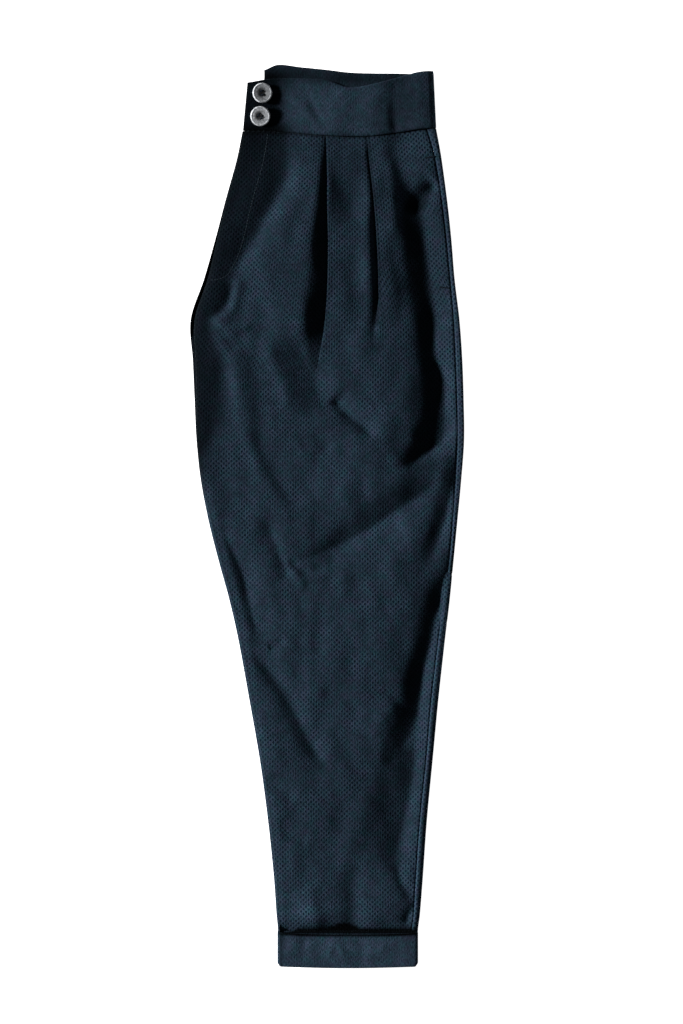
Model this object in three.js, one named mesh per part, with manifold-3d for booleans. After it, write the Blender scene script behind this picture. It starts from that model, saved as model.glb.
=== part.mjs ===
import * as THREE from "three";
import { mergeVertices } from "three/addons/utils/BufferGeometryUtils.js";
import Module from "manifold-3d";

// Tapered trousers with two forward pleats and turned-up cuffs, folded in half along the
// centre front and laid flat, the left leg on top. Millimetres. +Y runs up to the waist,
// +X to the side seams, +Z away from the surface. The origin is on the surface, under the
// middle of the outline.

const { clamp, degToRad, lerp, smoothstep } = THREE.MathUtils;

const cloth = 1.2; // one layer of the cloth
const gap = 0.3; // between pieces at a seam
const slack = 1; // between the top layer and the layers under it
const bandCloth = 3; // waistband: two layers and an interlining
const rollWidth = 9; // how far in from its edge a folded layer turns down
const rollSteps = 4;
const flatLoft = 12.5; // where the legs are this high they are flat across, and above it crowned
const crotchHeight = 206; // where the centre front seam ends and the inseams start

// The folded legs, from the waist seam down. left and right are the upper leg's edges, low is
// the lower leg's left edge, seam the side seam, loft the height of the top layer, and edge
// and lowEdge the shares of that height where the two fronts end at the left.
const sections = [
  { y: 404, left: -88, low: -88.5, seam: 105, right: 113.5, loft: 14, edge: 0.82, lowEdge: 0.78 },
  { y: 374, left: -94, low: -94.5, seam: 113.5, right: 119, loft: 18, edge: 0.8, lowEdge: 0.76 },
  { y: 332, left: -105, low: -106, seam: 120.5, right: 124.5, loft: 21, edge: 0.78, lowEdge: 0.74 },
  { y: 290, left: -115, low: -117, seam: 125.5, right: 129, loft: 22.5, edge: 0.75, lowEdge: 0.7 },
  { y: 248, left: -125, low: -129, seam: 129.5, right: 132.5, loft: 23.5, edge: 0.7, lowEdge: 0.6 },
  { y: 206, left: -138.5, low: -143, seam: 133, right: 137.5, loft: 23.5, edge: 0.66, lowEdge: 0.5 },
  { y: 164, left: -137.5, low: -141, seam: 135, right: 140.5, loft: 23.5, edge: 0.75, lowEdge: 0.25 },
  { y: 122, left: -136, low: -138.5, seam: 136.5, right: 142, loft: 23, edge: 0.75, lowEdge: 0.25 },
  { y: 80, left: -135.5, low: -136.5, seam: 137, right: 142.5, loft: 22, edge: 0.75, lowEdge: 0.25 },
  { y: 38, left: -131, low: -132, seam: 135, right: 139.5, loft: 21, edge: 0.75, lowEdge: 0.25 },
  { y: -4, left: -123.5, low: -124, seam: 132, right: 135.5, loft: 20, edge: 0.75, lowEdge: 0.25 },
  { y: -46, left: -113, low: -113.5, seam: 128.5, right: 131.5, loft: 19, edge: 0.75, lowEdge: 0.25 },
  { y: -88, left: -101.5, low: -102, seam: 123.5, right: 127.5, loft: 18, edge: 0.75, lowEdge: 0.25 },
  { y: -130, left: -91.5, low: -92.5, seam: 117, right: 122.5, loft: 17.5, edge: 0.75, lowEdge: 0.25 },
  { y: -193, left: -80, low: -81, seam: 109.5, right: 115.5, loft: 17, edge: 0.75, lowEdge: 0.25 },
  { y: -256, left: -69, low: -70, seam: 104, right: 109.5, loft: 16.5, edge: 0.75, lowEdge: 0.25 },
  { y: -319, left: -60.5, low: -61.5, seam: 97.5, right: 103.5, loft: 15.5, edge: 0.75, lowEdge: 0.25 },
  { y: -382, left: -54, low: -55, seam: 93, right: 99, loft: 14.5, edge: 0.75, lowEdge: 0.25 },
  { y: -418, left: -52, low: -52.5, seam: 91, right: 95.5, loft: 13.3, edge: 0.78, lowEdge: 0.25 },
  { y: -434, left: -50.5, low: -51, seam: 89, right: 93.5, loft: 12.7, edge: 0.92, lowEdge: 0.25 },
  { y: -450, left: -50, low: -50.5, seam: 88.5, right: 93, loft: 12.5, edge: 0.94, lowEdge: 0.25 },
];

// The waistband along its length: the seam to the legs, the top edges of the front and the
// back, and the height of the front's outer face.
const waist = [
  { x: -89, seam: 404, top: 454.5, backTop: 466, face: 15.6 },
  { x: -66, seam: 404, top: 458, backTop: 468.5, face: 16 },
  { x: -52, seam: 403, top: 459, backTop: 473.5, face: 15.6 },
  { x: -28, seam: 400.6, top: 459, backTop: 470.5, face: 16.4 },
  { x: 0, seam: 398.4, top: 457, backTop: 466.5, face: 17.6 },
  { x: 24, seam: 397.5, top: 449.5, backTop: 464, face: 18 },
  { x: 50, seam: 398, top: 453.5, backTop: 463.5, face: 17.8 },
  { x: 77, seam: 402, top: 461, backTop: 464, face: 15.8 },
  { x: 96, seam: 405, top: 466, backTop: 464, face: 16.4 },
  { x: 115, seam: 406.5, top: 467.5, backTop: 464.5, face: 15.8 },
];

// The pleats: where their fold edges run, how far the cloth reaches back under each, and how
// far it turns there.
const pleatRows = [
  { y: 404, first: 0.5, second: 43.5, reach: 15, turn: 180 },
  { y: 325, first: 2, second: 51, reach: 9, turn: 180 },
  { y: 268, first: 0.5, second: 54.5, reach: 4, turn: 175 },
  { y: 240, first: -3, second: 55.5, reach: 1.5, turn: 120 },
  { y: 206, first: -10, second: 56, reach: 1, turn: 20 },
  { y: 170, first: -16, second: 56, reach: 1, turn: 1 },
  { y: -450, first: -10, second: 40, reach: 1, turn: 1 },
];
const foldRadius = 0.9; // of a pleat's turned edge, at the middle of the cloth
const foldSteps = 3;
const pleatSettles = 18; // how far past a pleat's layers the cloth comes down again

// The folds of the top layer. Each runs on a curve that leaves "from" towards "by" and ends at
// "to". west and east are its widths to either side, and height is negative in a hollow.
const folds = [
  { name: "fly step", from: [-43, 404], by: [-66, 318], to: [-106, 220], west: 10, east: 8, height: -4 },
  { name: "first pleat", from: [1, 395], by: [5, 280], to: [-17, 165], west: 14, east: 9, height: -5.5 },
  { name: "second pleat", from: [43, 395], by: [56, 300], to: [55, 205], west: 8, east: 7, height: -3.5 },
  { name: "between pleats", from: [20, 385], by: [26, 290], to: [16, 190], west: 13, east: 13, height: 2 },
  { name: "pocket", from: [78, 392], by: [98, 265], to: [117, 105], west: 17, east: 10, height: -7.5 },
  { name: "pocket hook", from: [122, 118], by: [116, 76], to: [72, 46], west: 11, east: 9, height: -6 },
  { name: "hip side", from: [129, 54], by: [120, 20], to: [100, -40], west: 12, east: 8, height: -5 },
  { name: "thigh slant", from: [104, 52], by: [58, 6], to: [-20, -42], west: 18, east: 11, height: -6.5 },
  { name: "thigh crease", from: [2, 122], by: [22, 106], to: [50, 84], west: 7, east: 9, height: -3.5 },
  { name: "thigh ridge", from: [0, 140], by: [28, 126], to: [74, 88], west: 10, east: 12, height: 3 },
  { name: "crotch", from: [-112, 208], by: [-80, 101], to: [-28, 0], west: 9, east: 10, height: 3.5 },
  { name: "belly", from: [-38, 196], by: [-60, 160], to: [-12, 104], west: 10, east: 10, height: -4 },
  { name: "upper knee", from: [-104, 2], by: [-88, -66], to: [-68, -138], west: 8, east: 11, height: -4 },
  { name: "lower knee", from: [-86, -134], by: [-40, -180], to: [-2, -272], west: 9, east: 11, height: -4.5 },
  { name: "shin right", from: [130, -44], by: [90, -110], to: [82, -232], west: 11, east: 11, height: -6.5 },
  { name: "shin foot", from: [88, -200], by: [80, -250], to: [46, -262], west: 10, east: 12, height: -3 },
  { name: "ankle", from: [66, -236], by: [62, -330], to: [84, -412], west: 18, east: 16, height: -3.5 },
  { name: "cuff pinch", from: [19, -386], by: [18, -420], to: [19, -436], west: 8, east: 8, height: -2.5 },
  { name: "above cuff", from: [-74, -427], by: [20, -429], to: [116, -427], west: 6, east: 6, height: -1.6 },
];
for (const fold of folds) {
  const ends = [fold.from, fold.by, fold.to].map(([x, y]) => new THREE.Vector2(x, y));
  fold.route = new THREE.QuadraticBezierCurve(...ends).getPoints(14);
}

// The hidden layers: how round the lips of the groove between the two legs are and half its
// height, and how far to each side the lowest place of the top layer is looked for.
const groove = { bulge: 5, lip: 0.3 };
const under = { across: [-8, 0, 8], along: [-18, -9, 0, 9, 18] };

const cuffTop = -436; // height of the cuffs' upper edge
const cuffFold = -473; // height of their folded lower edge
const cuffFlap = 10; // the leg reaches this far under the cuff's upper edge
const cuffCloth = 3.2; // three layers
const cuff = { left: -52.5, right: 96, roll: 5, droop: 1.6 };

const button = { diameter: 21, height: 3.8, hole: 1.9, holeSpread: 2.1 };
const buttons = [
  { name: "button_upper", x: -68.7, y: 443.8, lean: -11, turn: 20 },
  { name: "button_lower", x: -70.6, y: 419.8, lean: -4, turn: 50 },
];

const wasm = await Module();
wasm.setup();

// Reads a column of a table between its rows, on a smooth curve through all of them.
function read(table, key, column, place) {
  const last = table.length - 1;
  const way = Math.sign(table[last][key] - table[0][key]);
  let row = 0;
  while (row < last - 1 && (place - table[row + 1][key]) * way > 0) row += 1;
  const slope = (at) => {
    const before = table[Math.max(at - 1, 0)];
    const after = table[Math.min(at + 1, last)];
    return (after[column] - before[column]) / (after[key] - before[key]);
  };
  const [a, b] = [table[row], table[row + 1]];
  const span = b[key] - a[key];
  const t = clamp((place - a[key]) / span, 0, 1);
  const ease = t * t * (3 - 2 * t);
  const bend = t * (1 - t) * span * ((1 - t) * slope(row) - t * slope(row + 1));
  return lerp(a[column], b[column], ease) + bend;
}
const section = (column, y) => read(sections, "y", column, y);
const band = (column, x) => read(waist, "x", column, x);
const pleat = (column, y) => read(pleatRows, "y", column, y);

// What one fold adds to the height at a place.
function foldHeight({ route, west, east, height }, x, y) {
  const place = new THREE.Vector2(x, y);
  let nearest = { distance: Infinity };
  for (let i = 1; i < route.length; i += 1) {
    const along = route[i].clone().sub(route[i - 1]);
    const reach = place.clone().sub(route[i - 1]).dot(along) / along.lengthSq();
    const foot = route[i - 1].clone().addScaledVector(along, clamp(reach, 0, 1));
    const distance = foot.distanceTo(place);
    if (distance < nearest.distance) {
      nearest = { distance, x: foot.x, share: (i - 1 + clamp(reach, 0, 1)) / (route.length - 1) };
    }
  }
  const width = x < nearest.x ? west : east;
  const fade = smoothstep(nearest.share, 0, 0.25) * (1 - smoothstep(nearest.share, 0.75, 1));
  return height * fade * Math.exp(-((nearest.distance / width) ** 2));
}

// Height of the top layer, at the middle of its cloth, without its pleats and rolled edge.
function topHeight(x, y) {
  const across = (x - section("left", y)) / (section("right", y) - section("left", y));
  const loft = section("loft", y);
  const crown = (loft - flatLoft) * 0.2 * Math.abs(2 * across - 1) ** 3;
  return folds.reduce((sum, fold) => sum + foldHeight(fold, x, y), loft - crown);
}

// The waist seam isn't level: places near it are moved up or down to follow it.
function followSeam(x, y) {
  const near = smoothstep(y, sections[0].y - 60, sections[0].y);
  return y + near * (band("seam", x) - gap - sections[0].y);
}

// A body through rings with the same number of points, closed at its first and last ring. A
// ring of one long outline is closed whole. A ring that goes out along one side and back along
// the other is closed in strips between the two, apart from the lobes at its two ends, which
// have "lobe" points a side. Faces on the way back split along the same lines as those on the
// way out, so that a wall keeps its thickness between its rings.
function loftRings(rings, lobe) {
  const count = rings[0].length;
  const points = rings.flat();
  const faces = [];
  for (let row = 0; row + 1 < rings.length; row += 1) {
    for (let i = 0; i < count; i += 1) {
      const next = (i + 1) % count;
      const [a, b] = [row * count + i, row * count + next];
      const onWayBack = lobe !== undefined && i >= count / 2;
      if (onWayBack) faces.push([a, b, b + count], [a, b + count, a + count]);
      else faces.push([a, b, a + count], [b, b + count, a + count]);
    }
  }
  const cover = closeRing(rings[0], lobe);
  const foot = closeRing(rings[rings.length - 1], lobe);
  faces.push(...cover.map((face) => face.reverse()));
  faces.push(...foot.map((face) => face.map((i) => i + points.length - count)));
  const inward = volume(points, faces) < 0;
  return new THREE.BufferGeometry().setFromPoints(points)
    .setIndex(faces.flatMap((face) => (inward ? face.reverse() : face)));
}

// Triangles that fill a ring and turn the way its points do.
function closeRing(ring, lobe) {
  if (lobe === undefined) return fillOutline(ring, ring.map((_, i) => i));
  const last = ring.length - 1;
  const half = ring.length / 2;
  const run = (from, to) => Array.from({ length: to - from + 1 }, (_, i) => from + i);
  const faces = [];
  for (let i = lobe; i < half - 1 - lobe; i += 1) {
    faces.push([i, i + 1, last - i], [i + 1, last - i - 1, last - i]);
  }
  if (lobe > 0) {
    faces.push(...fillOutline(ring, [...run(0, lobe), ...run(last - lobe, last)]));
    faces.push(...fillOutline(ring, run(half - 1 - lobe, half + lobe)));
  }
  return faces;
}

function fillOutline(ring, order) {
  const wide = (axis) => {
    const places = order.map((i) => ring[i][axis]);
    return Math.max(...places) - Math.min(...places);
  };
  const axis = wide("x") > wide("y") ? "x" : "y";
  const outline = order.map((i) => new THREE.Vector2(ring[i][axis], ring[i].z));
  const faces = THREE.ShapeUtils.triangulateShape(outline, []);
  const area = (ids) => THREE.ShapeUtils.area(ids.map((i) => outline[i]));
  const turned = faces.reduce((sum, face) => sum + area(face), 0) * THREE.ShapeUtils.area(outline) < 0;
  return faces.map((face) => (turned ? face.reverse() : face).map((i) => order[i]));
}

function volume(points, faces) {
  const six = ([a, b, c]) => points[a].dot(points[b].clone().cross(points[c]));
  return faces.reduce((sum, face) => sum + six(face), 0) / 6;
}

// Places from one to another, without the first.
const spread = (from, to, count) =>
  Array.from({ length: count }, (_, i) => lerp(from, to, (i + 1) / count));

// A line across the garment, thickened to a closed ring.
function thicken(line, thickness) {
  const sides = [1, -1].map((side) =>
    line.map((p, i) => {
      const before = line[Math.max(i - 1, 0)];
      const after = line[Math.min(i + 1, line.length - 1)];
      const along = after.clone().sub(before).normalize();
      return new THREE.Vector2(p.x - along.y * side * thickness / 2, p.y + along.x * side * thickness / 2);
    }),
  );
  return [...sides[0], ...sides[1].reverse()];
}

// The quarter turn at a folded edge: from the edge itself, up or down to the flat part.
function rollPoints(edge, flat, steps) {
  return Array.from({ length: steps + 1 }, (_, i) => {
    const angle = (i / steps) * Math.PI / 2;
    return new THREE.Vector2(
      lerp(flat.x, edge.x, Math.cos(angle)),
      lerp(edge.y, flat.y, Math.sin(angle)),
    );
  });
}

// The line of a pleat's S, from where the cloth turns back to where it runs on over itself.
function pleatLine(start, reach, turnDegrees) {
  const turn = degToRad(turnDegrees);
  const radius = foldRadius * Math.PI / turn;
  const line = [];
  for (const angle of spread(0, turn, foldSteps)) {
    line.push(new THREE.Vector2(start + radius * Math.sin(angle), radius * (1 - Math.cos(angle))));
  }
  const [foot] = line.slice(-1);
  const head = new THREE.Vector2(foot.x + reach * Math.cos(turn), foot.y + reach * Math.sin(turn));
  for (const angle of [turn, ...spread(turn, 0, foldSteps)]) {
    line.push(new THREE.Vector2(
      head.x + radius * (Math.sin(turn) - Math.sin(angle)),
      head.y + radius * (Math.cos(angle) - Math.cos(turn)),
    ));
  }
  return line;
}

// The left front across the garment: its rolled edge, then flat cloth with an S at each pleat.
// Where a pleat's layers lie on each other they all follow one straight slope.
function frontLine(y) {
  const left = section("left", y) + cloth / 2;
  const flatStart = left + rollWidth;
  const edge = new THREE.Vector2(left, section("edge", y) * section("loft", y));
  const line = rollPoints(edge, new THREE.Vector2(flatStart, topHeight(flatStart, y)), rollSteps);
  const [reach, turn] = [pleat("reach", y), pleat("turn", y)];
  let lifted = { from: flatStart, rise: 0 };
  const addStretch = (to, count, heightAt) => {
    for (const x of spread(line[line.length - 1].x, to, count)) {
      const settle = smoothstep(x, lifted.from, lifted.from + pleatSettles);
      line.push(new THREE.Vector2(x, heightAt(x) + lifted.rise * (1 - settle)));
    }
  };
  const onLegs = (x) => topHeight(x, y);
  for (const [edgeX, count] of [[pleat("first", y), 6], [pleat("second", y), 5]]) {
    const start = edgeX + foldRadius + reach;
    const ends = [edgeX, start + foldRadius];
    const onSlope = (x) => lerp(...ends.map(onLegs), (x - ends[0]) / (ends[1] - ends[0]));
    addStretch(edgeX, count, onLegs);
    addStretch(start, 2, onSlope);
    const turned = pleatLine(start, reach, turn);
    const head = turned[turned.length - 1];
    for (const p of turned) line.push(new THREE.Vector2(p.x, p.y + onSlope(p.x)));
    lifted = { from: Math.max(head.x, ends[1]) + 2, rise: head.y };
    addStretch(Math.max(head.x, ends[1]) + 1, 2, onSlope);
  }
  addStretch(section("seam", y) - gap / 2, 9, onLegs);
  return line;
}

// Heights at which the legs are sectioned, closer together where the folds are.
const legRows = [
  404,
  ...spread(404, 200, 12),
  ...spread(200, -50, 16),
  ...spread(-50, -410, 11),
  ...spread(-410, cuffTop - cuffFlap + gap, 4),
];

const toRing = (flatRing, y) => flatRing.map((p) => new THREE.Vector3(p.x, followSeam(p.x, y), p.y));

function makeFrontLeft() {
  return loftRings(legRows.map((y) => toRing(thicken(frontLine(y), cloth), y)), 0);
}

// The right front lies on the surface, and its left edge rolls up.
function makeFrontRight() {
  const rows = legRows.filter((y, i) => i % 2 === 0 && y > cuffTop + gap);
  return loftRings([...rows, cuffTop + gap].map((y) => {
    const left = section("low", y) + cloth / 2;
    const edge = new THREE.Vector2(left, section("lowEdge", y) * section("loft", y) - gap);
    const flat = new THREE.Vector2(left + rollWidth, cloth / 2);
    const line = rollPoints(edge, flat, rollSteps);
    for (const x of spread(flat.x, section("seam", y) - gap / 2, 9)) {
      line.push(new THREE.Vector2(x, cloth / 2));
    }
    return toRing(thicken(line, cloth), y);
  }), 0);
}

const hiddenLobe = 9; // points of a half's outline from its end to past the groove

// One leg's half of the hidden layers: its outline from the groove at the left, over the side
// that faces out, to the groove at the right. Heights are measured from the groove outwards.
function hiddenHalf({ left, seam, right, edge, side, outer, faceAt, out }) {
  const { bulge, lip } = groove;
  const inset = cloth + 3 * gap + (1 - out) * 3; // clear of the front's own edge
  const start = left + (1 - out) * inset;
  const nose = lerp(2, edge, out);
  const line = [new THREE.Vector2(start + bulge + 2, lip)];
  for (const degrees of [75, 40, 0]) {
    const angle = degToRad(degrees);
    line.push(new THREE.Vector2(
      start + bulge * (1 - Math.cos(angle)),
      lerp(nose, lip, Math.sin(angle)),
    ));
  }
  const flatStart = left + inset + gap + rollWidth;
  const shelf = new THREE.Vector2(left + inset + gap, Math.min(nose, faceAt(flatStart)));
  line.push(...rollPoints(shelf, new THREE.Vector2(flatStart, faceAt(flatStart)), 3));
  for (const x of spread(flatStart, seam - 1, 12)) line.push(new THREE.Vector2(x, faceAt(x)));
  const shoulder = seam + 1.5 * gap;
  line.push(new THREE.Vector2(shoulder, faceAt(seam)));
  const width = right - shoulder;
  for (const degrees of [80, 50, 25, 0]) {
    const angle = degToRad(degrees);
    line.push(new THREE.Vector2(right - width * (1 - Math.cos(angle)), lerp(side, outer, Math.sin(angle))));
  }
  for (const degrees of [40, 75]) {
    const angle = degToRad(degrees);
    line.push(new THREE.Vector2(right - bulge * (1 - Math.cos(angle)), lerp(side, lip, Math.sin(angle))));
  }
  line.push(new THREE.Vector2(right - bulge - 2, lip));
  return line;
}

// Both backs, the pocket bags and the fly's underlap, as one body with a groove round its edge
// where the two legs part.
function makeBacksFolded() {
  const rows = legRows.filter((y, i) => (i % 2 === 0 || y < -40) && y > cuffTop + gap);
  return loftRings([...rows, cuffTop + gap].map((y) => {
    const loft = section("loft", y);
    const middle = loft / 2;
    const [seam, right] = [section("seam", y), section("right", y)];
    const out = smoothstep(crotchHeight - y, 0, 36);
    const roof = (x) => {
      const around = under.across.flatMap((dx) =>
        under.along.map((dy) => topHeight(x + dx, clamp(y + dy, cuffTop, sections[0].y))),
      );
      return Math.min(...around) - cloth - slack;
    };
    const upper = hiddenHalf({
      left: section("left", y),
      seam,
      right,
      edge: section("edge", y) * loft - 2 * gap - middle,
      side: loft * 0.22,
      outer: topHeight(seam, y) + cloth / 2 - gap - middle,
      faceAt: (x) => roof(x) - middle,
      out,
    });
    const lower = hiddenHalf({
      left: section("low", y),
      seam,
      right: right - 0.8,
      edge: middle - section("lowEdge", y) * loft - gap,
      side: loft * 0.25,
      outer: middle,
      faceAt: () => middle - cloth - gap,
      out,
    });
    const ring = [
      ...upper.map((p) => new THREE.Vector2(p.x, middle + p.y)),
      ...lower.reverse().map((p) => new THREE.Vector2(p.x, middle - p.y)),
    ];
    return toRing(ring, y);
  }), hiddenLobe);
}

// The waistband's ends: the front edge leans, and the side fold does so less.
const bandLeft = (y) => lerp(-88.3, -83.2, (y - 404) / 50);
const bandRight = (y) => lerp(113.8, 111.2, (y - 404) / 60);
const bandLevel = 430; // where the waistband's stations are measured

// A waistband layer from the centre front to the side, where it rolls up or down.
function makeBandFront(faceOf, inner, rollTo, leftRollTo) {
  const stations = [0, 0.015, 0.04, ...spread(0.04, 0.94, 15), 0.965, 0.985, 1];
  return loftRings(stations.map((share) => {
    const x = lerp(bandLeft(bandLevel), bandRight(bandLevel), share);
    const [bottom, top] = [band("seam", x) + gap, band("top", x)];
    const fold = (distance, to) => {
      const turn = clamp(distance / rollWidth, 0, 1);
      return lerp(to, 0, Math.sqrt(1 - (1 - turn) ** 2));
    };
    const face = faceOf(x);
    const atSide = fold(bandRight(bandLevel) - x, rollTo(face));
    const atFront = fold(x - bandLeft(bandLevel), leftRollTo(face));
    const profile = [
      { up: 0, out: 0.75 },
      { up: 0.025, out: 1 },
      { up: 0.35, out: 1 },
      { up: 0.7, out: 1 },
      { up: 0.975, out: 1 },
      { up: 1, out: 0.75 },
      { up: 1, out: 0.25 },
      { up: 0.975, out: 0 },
      { up: 0.5, out: 0 },
      { up: 0.025, out: 0 },
      { up: 0, out: 0.25 },
    ];
    return profile.map(({ up, out }) => {
      const y = lerp(bottom, top, up);
      const z = face + inner * bandCloth * (1 - out) + atSide + atFront;
      return new THREE.Vector3(lerp(bandLeft(y), bandRight(y), share), y, z);
    });
  }));
}

// The back waistband is folded at the centre back, so its two layers part along the top.
function makeBandBack() {
  const [left, right] = [-66, 103];
  const parting = 4; // how deep the two layers part
  const stations = [0, 0.012, 0.035, ...spread(0.035, 0.97, 15), 1];
  const floorHeight = bandCloth + gap;
  return loftRings(stations.map((share) => {
    const x = lerp(left, right, share);
    const roof = band("face", x) - bandCloth - gap;
    const middle = (floorHeight + roof) / 2;
    const half = (roof - floorHeight) / 2;
    const plump = lerp(0.35, 1, Math.sqrt(clamp(share / 0.035, 0, 1)));
    const [bottom, top] = [band("seam", x) + gap, band("backTop", x)];
    const profile = [
      { y: bottom, z: -1 },
      { y: top - 1.2, z: -1 },
      { y: top, z: -0.7 },
      { y: top, z: -0.35 },
      { y: top - 1.5, z: -0.08 },
      { y: top - parting, z: -0.05 },
      { y: top - parting, z: 0.05 },
      { y: top - 1.5, z: 0.08 },
      { y: top, z: 0.35 },
      { y: top, z: 0.7 },
      { y: top - 1.2, z: 1 },
      { y: bottom, z: 1 },
    ];
    return profile.map(({ y, z }) => new THREE.Vector3(x, y, middle + z * half * plump));
  }));
}

// One half of a cuff: a plate of three layers whose sides roll towards the other half. Facing
// is 1 where its outer side looks up, and -1 where it looks down.
function makeCuff({ outer, facing, flap, sag }) {
  const rowsFrom = (top) => [cuffFold, cuffFold + 0.8, cuffFold + 3, ...spread(cuffFold + 3, top, 2)];
  const rows = flap
    ? [...rowsFrom(cuffTop - cuffFlap - gap), cuffTop - cuffFlap, cuffTop - 1, cuffTop]
    : rowsFrom(cuffTop);
  return loftRings(rows.map((y) => {
    const hemRound = smoothstep(y, cuffFold - 1, cuffFold + 2);
    const isFlap = flap && y > cuffTop - cuffFlap - gap / 2;
    const thickness = isFlap ? cloth : cuffCloth * lerp(0.45, 1, hemRound);
    const pull = 1.2 * (1 - smoothstep(y, cuffFold, cuffFold + 6));
    const [left, right] = [cuff.left + pull, cuff.right + pull * -1.4];
    const stations = [
      ...rollPoints(new THREE.Vector2(left, 1), new THREE.Vector2(left + cuff.roll, 0), 3),
      ...spread(left + cuff.roll, right - cuff.roll, 7).map((x) => new THREE.Vector2(x, 0)),
      ...rollPoints(new THREE.Vector2(right, 1), new THREE.Vector2(right - cuff.roll, 0), 3)
        .reverse().slice(1),
    ];
    const face = outer - facing * (1 - hemRound) * cuffCloth * 0.25;
    const near = stations.map((p) => new THREE.Vector2(p.x, face - facing * p.y * sag));
    const far = near.map((p, i) => {
      const inward = stations[i].y * thickness * 0.12 * Math.sign((left + right) / 2 - p.x);
      return new THREE.Vector2(p.x + inward, p.y - facing * thickness * (1 - 0.35 * stations[i].y));
    });
    return [...near, ...far.reverse()].map((p) => {
      const middle = (p.x - 22) / (right - left);
      const droop = cuff.droop * Math.cos(middle * Math.PI) * (flap ? 1 : 0.6);
      return new THREE.Vector3(p.x, y - droop * (1 - smoothstep(y, cuffFold + 8, cuffTop)), p.y);
    });
  }), 0);
}

// manifold-3d's solid of a closed geometry, and the way back.
function toSolid(geometry) {
  const bare = geometry.clone();
  bare.deleteAttribute("normal");
  bare.deleteAttribute("uv");
  const merged = mergeVertices(bare, 1e-4);
  return new wasm.Manifold(new wasm.Mesh({
    numProp: 3,
    vertProperties: new Float32Array(merged.attributes.position.array),
    triVerts: new Uint32Array(merged.index.array),
  }));
}
function toGeometry(solid) {
  const { vertProperties, triVerts } = solid.getMesh();
  return new THREE.BufferGeometry()
    .setAttribute("position", new THREE.Float32BufferAttribute(vertProperties, 3))
    .setIndex(Array.from(triVerts));
}

// A dished button with a broad rim, a sunken middle and four sewing holes.
function makeButton() {
  const radius = button.diameter / 2;
  const profile = [
    { out: 0, up: 0 },
    { out: 0.72, up: 0 },
    { out: 0.95, up: 0.3 },
    { out: 1, up: 0.55 },
    { out: 0.96, up: 0.85 },
    { out: 0.86, up: 1 },
    { out: 0.7, up: 0.86 },
    { out: 0.64, up: 0.7 },
    { out: 0.58, up: 0.8 },
    { out: 0.44, up: 0.78 },
    { out: 0.36, up: 0.56 },
    { out: 0, up: 0.52 },
  ].map(({ out, up }) => new THREE.Vector2(out * radius, up * button.height));
  const hole = new THREE.CylinderGeometry(button.hole / 2, button.hole / 2, button.height * 2, 8);
  let solid = toSolid(new THREE.LatheGeometry(profile, 26));
  for (const [x, z] of [[1, 1], [1, -1], [-1, 1], [-1, -1]]) {
    const place = hole.clone().translate(x * button.holeSpread, 0, z * button.holeSpread);
    solid = solid.subtract(toSolid(place));
  }
  return toGeometry(solid).rotateX(Math.PI / 2);
}

const trousers = new THREE.Group();

function addPiece(name, geometry, { color, roughness }) {
  const material = new THREE.MeshStandardMaterial({ color, roughness, metalness: 0 });
  const mesh = new THREE.Mesh(geometry, material);
  mesh.name = name;
  trousers.add(mesh);
  return mesh;
}

const navyCloth = { color: 0x1b2630, roughness: 0.95 };
const innerCloth = { color: 0x161d26, roughness: 0.95 };
const greyShell = { color: 0x9fa2a6, roughness: 0.35 };

addPiece("front_left", makeFrontLeft(), navyCloth);
addPiece("backs_folded", makeBacksFolded(), navyCloth);
addPiece("front_right", makeFrontRight(), navyCloth);

const bandMiddle = 7.6; // height at which the waistband's layers meet at the side fold
const flyLift = 9.2; // how far the right front's end of the band is raised by the fly
addPiece(
  "waistband_front_left",
  makeBandFront((x) => band("face", x), -1, (face) => bandMiddle + bandCloth + gap - face, () => 0),
  navyCloth,
);
addPiece("waistband_back", makeBandBack(), innerCloth);
addPiece(
  "waistband_front_right",
  makeBandFront(() => 0, 1, () => bandMiddle - bandCloth, (face) => face + flyLift),
  navyCloth,
);

const cuffLayers = [
  { name: "cuff_right_front", outer: 0, facing: -1, flap: false, sag: 1.3 },
  { name: "cuff_right_back", outer: 7, facing: 1, flap: false, sag: 1.3 },
  { name: "cuff_left_back", outer: 7.4, facing: -1, flap: false, sag: 1.3 },
  { name: "cuff_left_front", outer: 15.6, facing: 1, flap: true, sag: 2.2 },
];
for (const { name, ...layer } of cuffLayers) addPiece(name, makeCuff(layer), navyCloth);

const buttonForm = makeButton();
for (const { name, x, y, lean, turn } of buttons) {
  const mesh = addPiece(name, buttonForm.clone(), greyShell);
  const raised = Math.abs(Math.sin(degToRad(lean))) * button.diameter * 0.36;
  mesh.position.set(x, y, band("face", x) + gap + raised);
  mesh.rotation.set(0, degToRad(lean), degToRad(turn), "YXZ");
}

export default trousers;
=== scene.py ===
import math

import bpy
import numpy as np
from mathutils import Matrix, Vector


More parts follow.
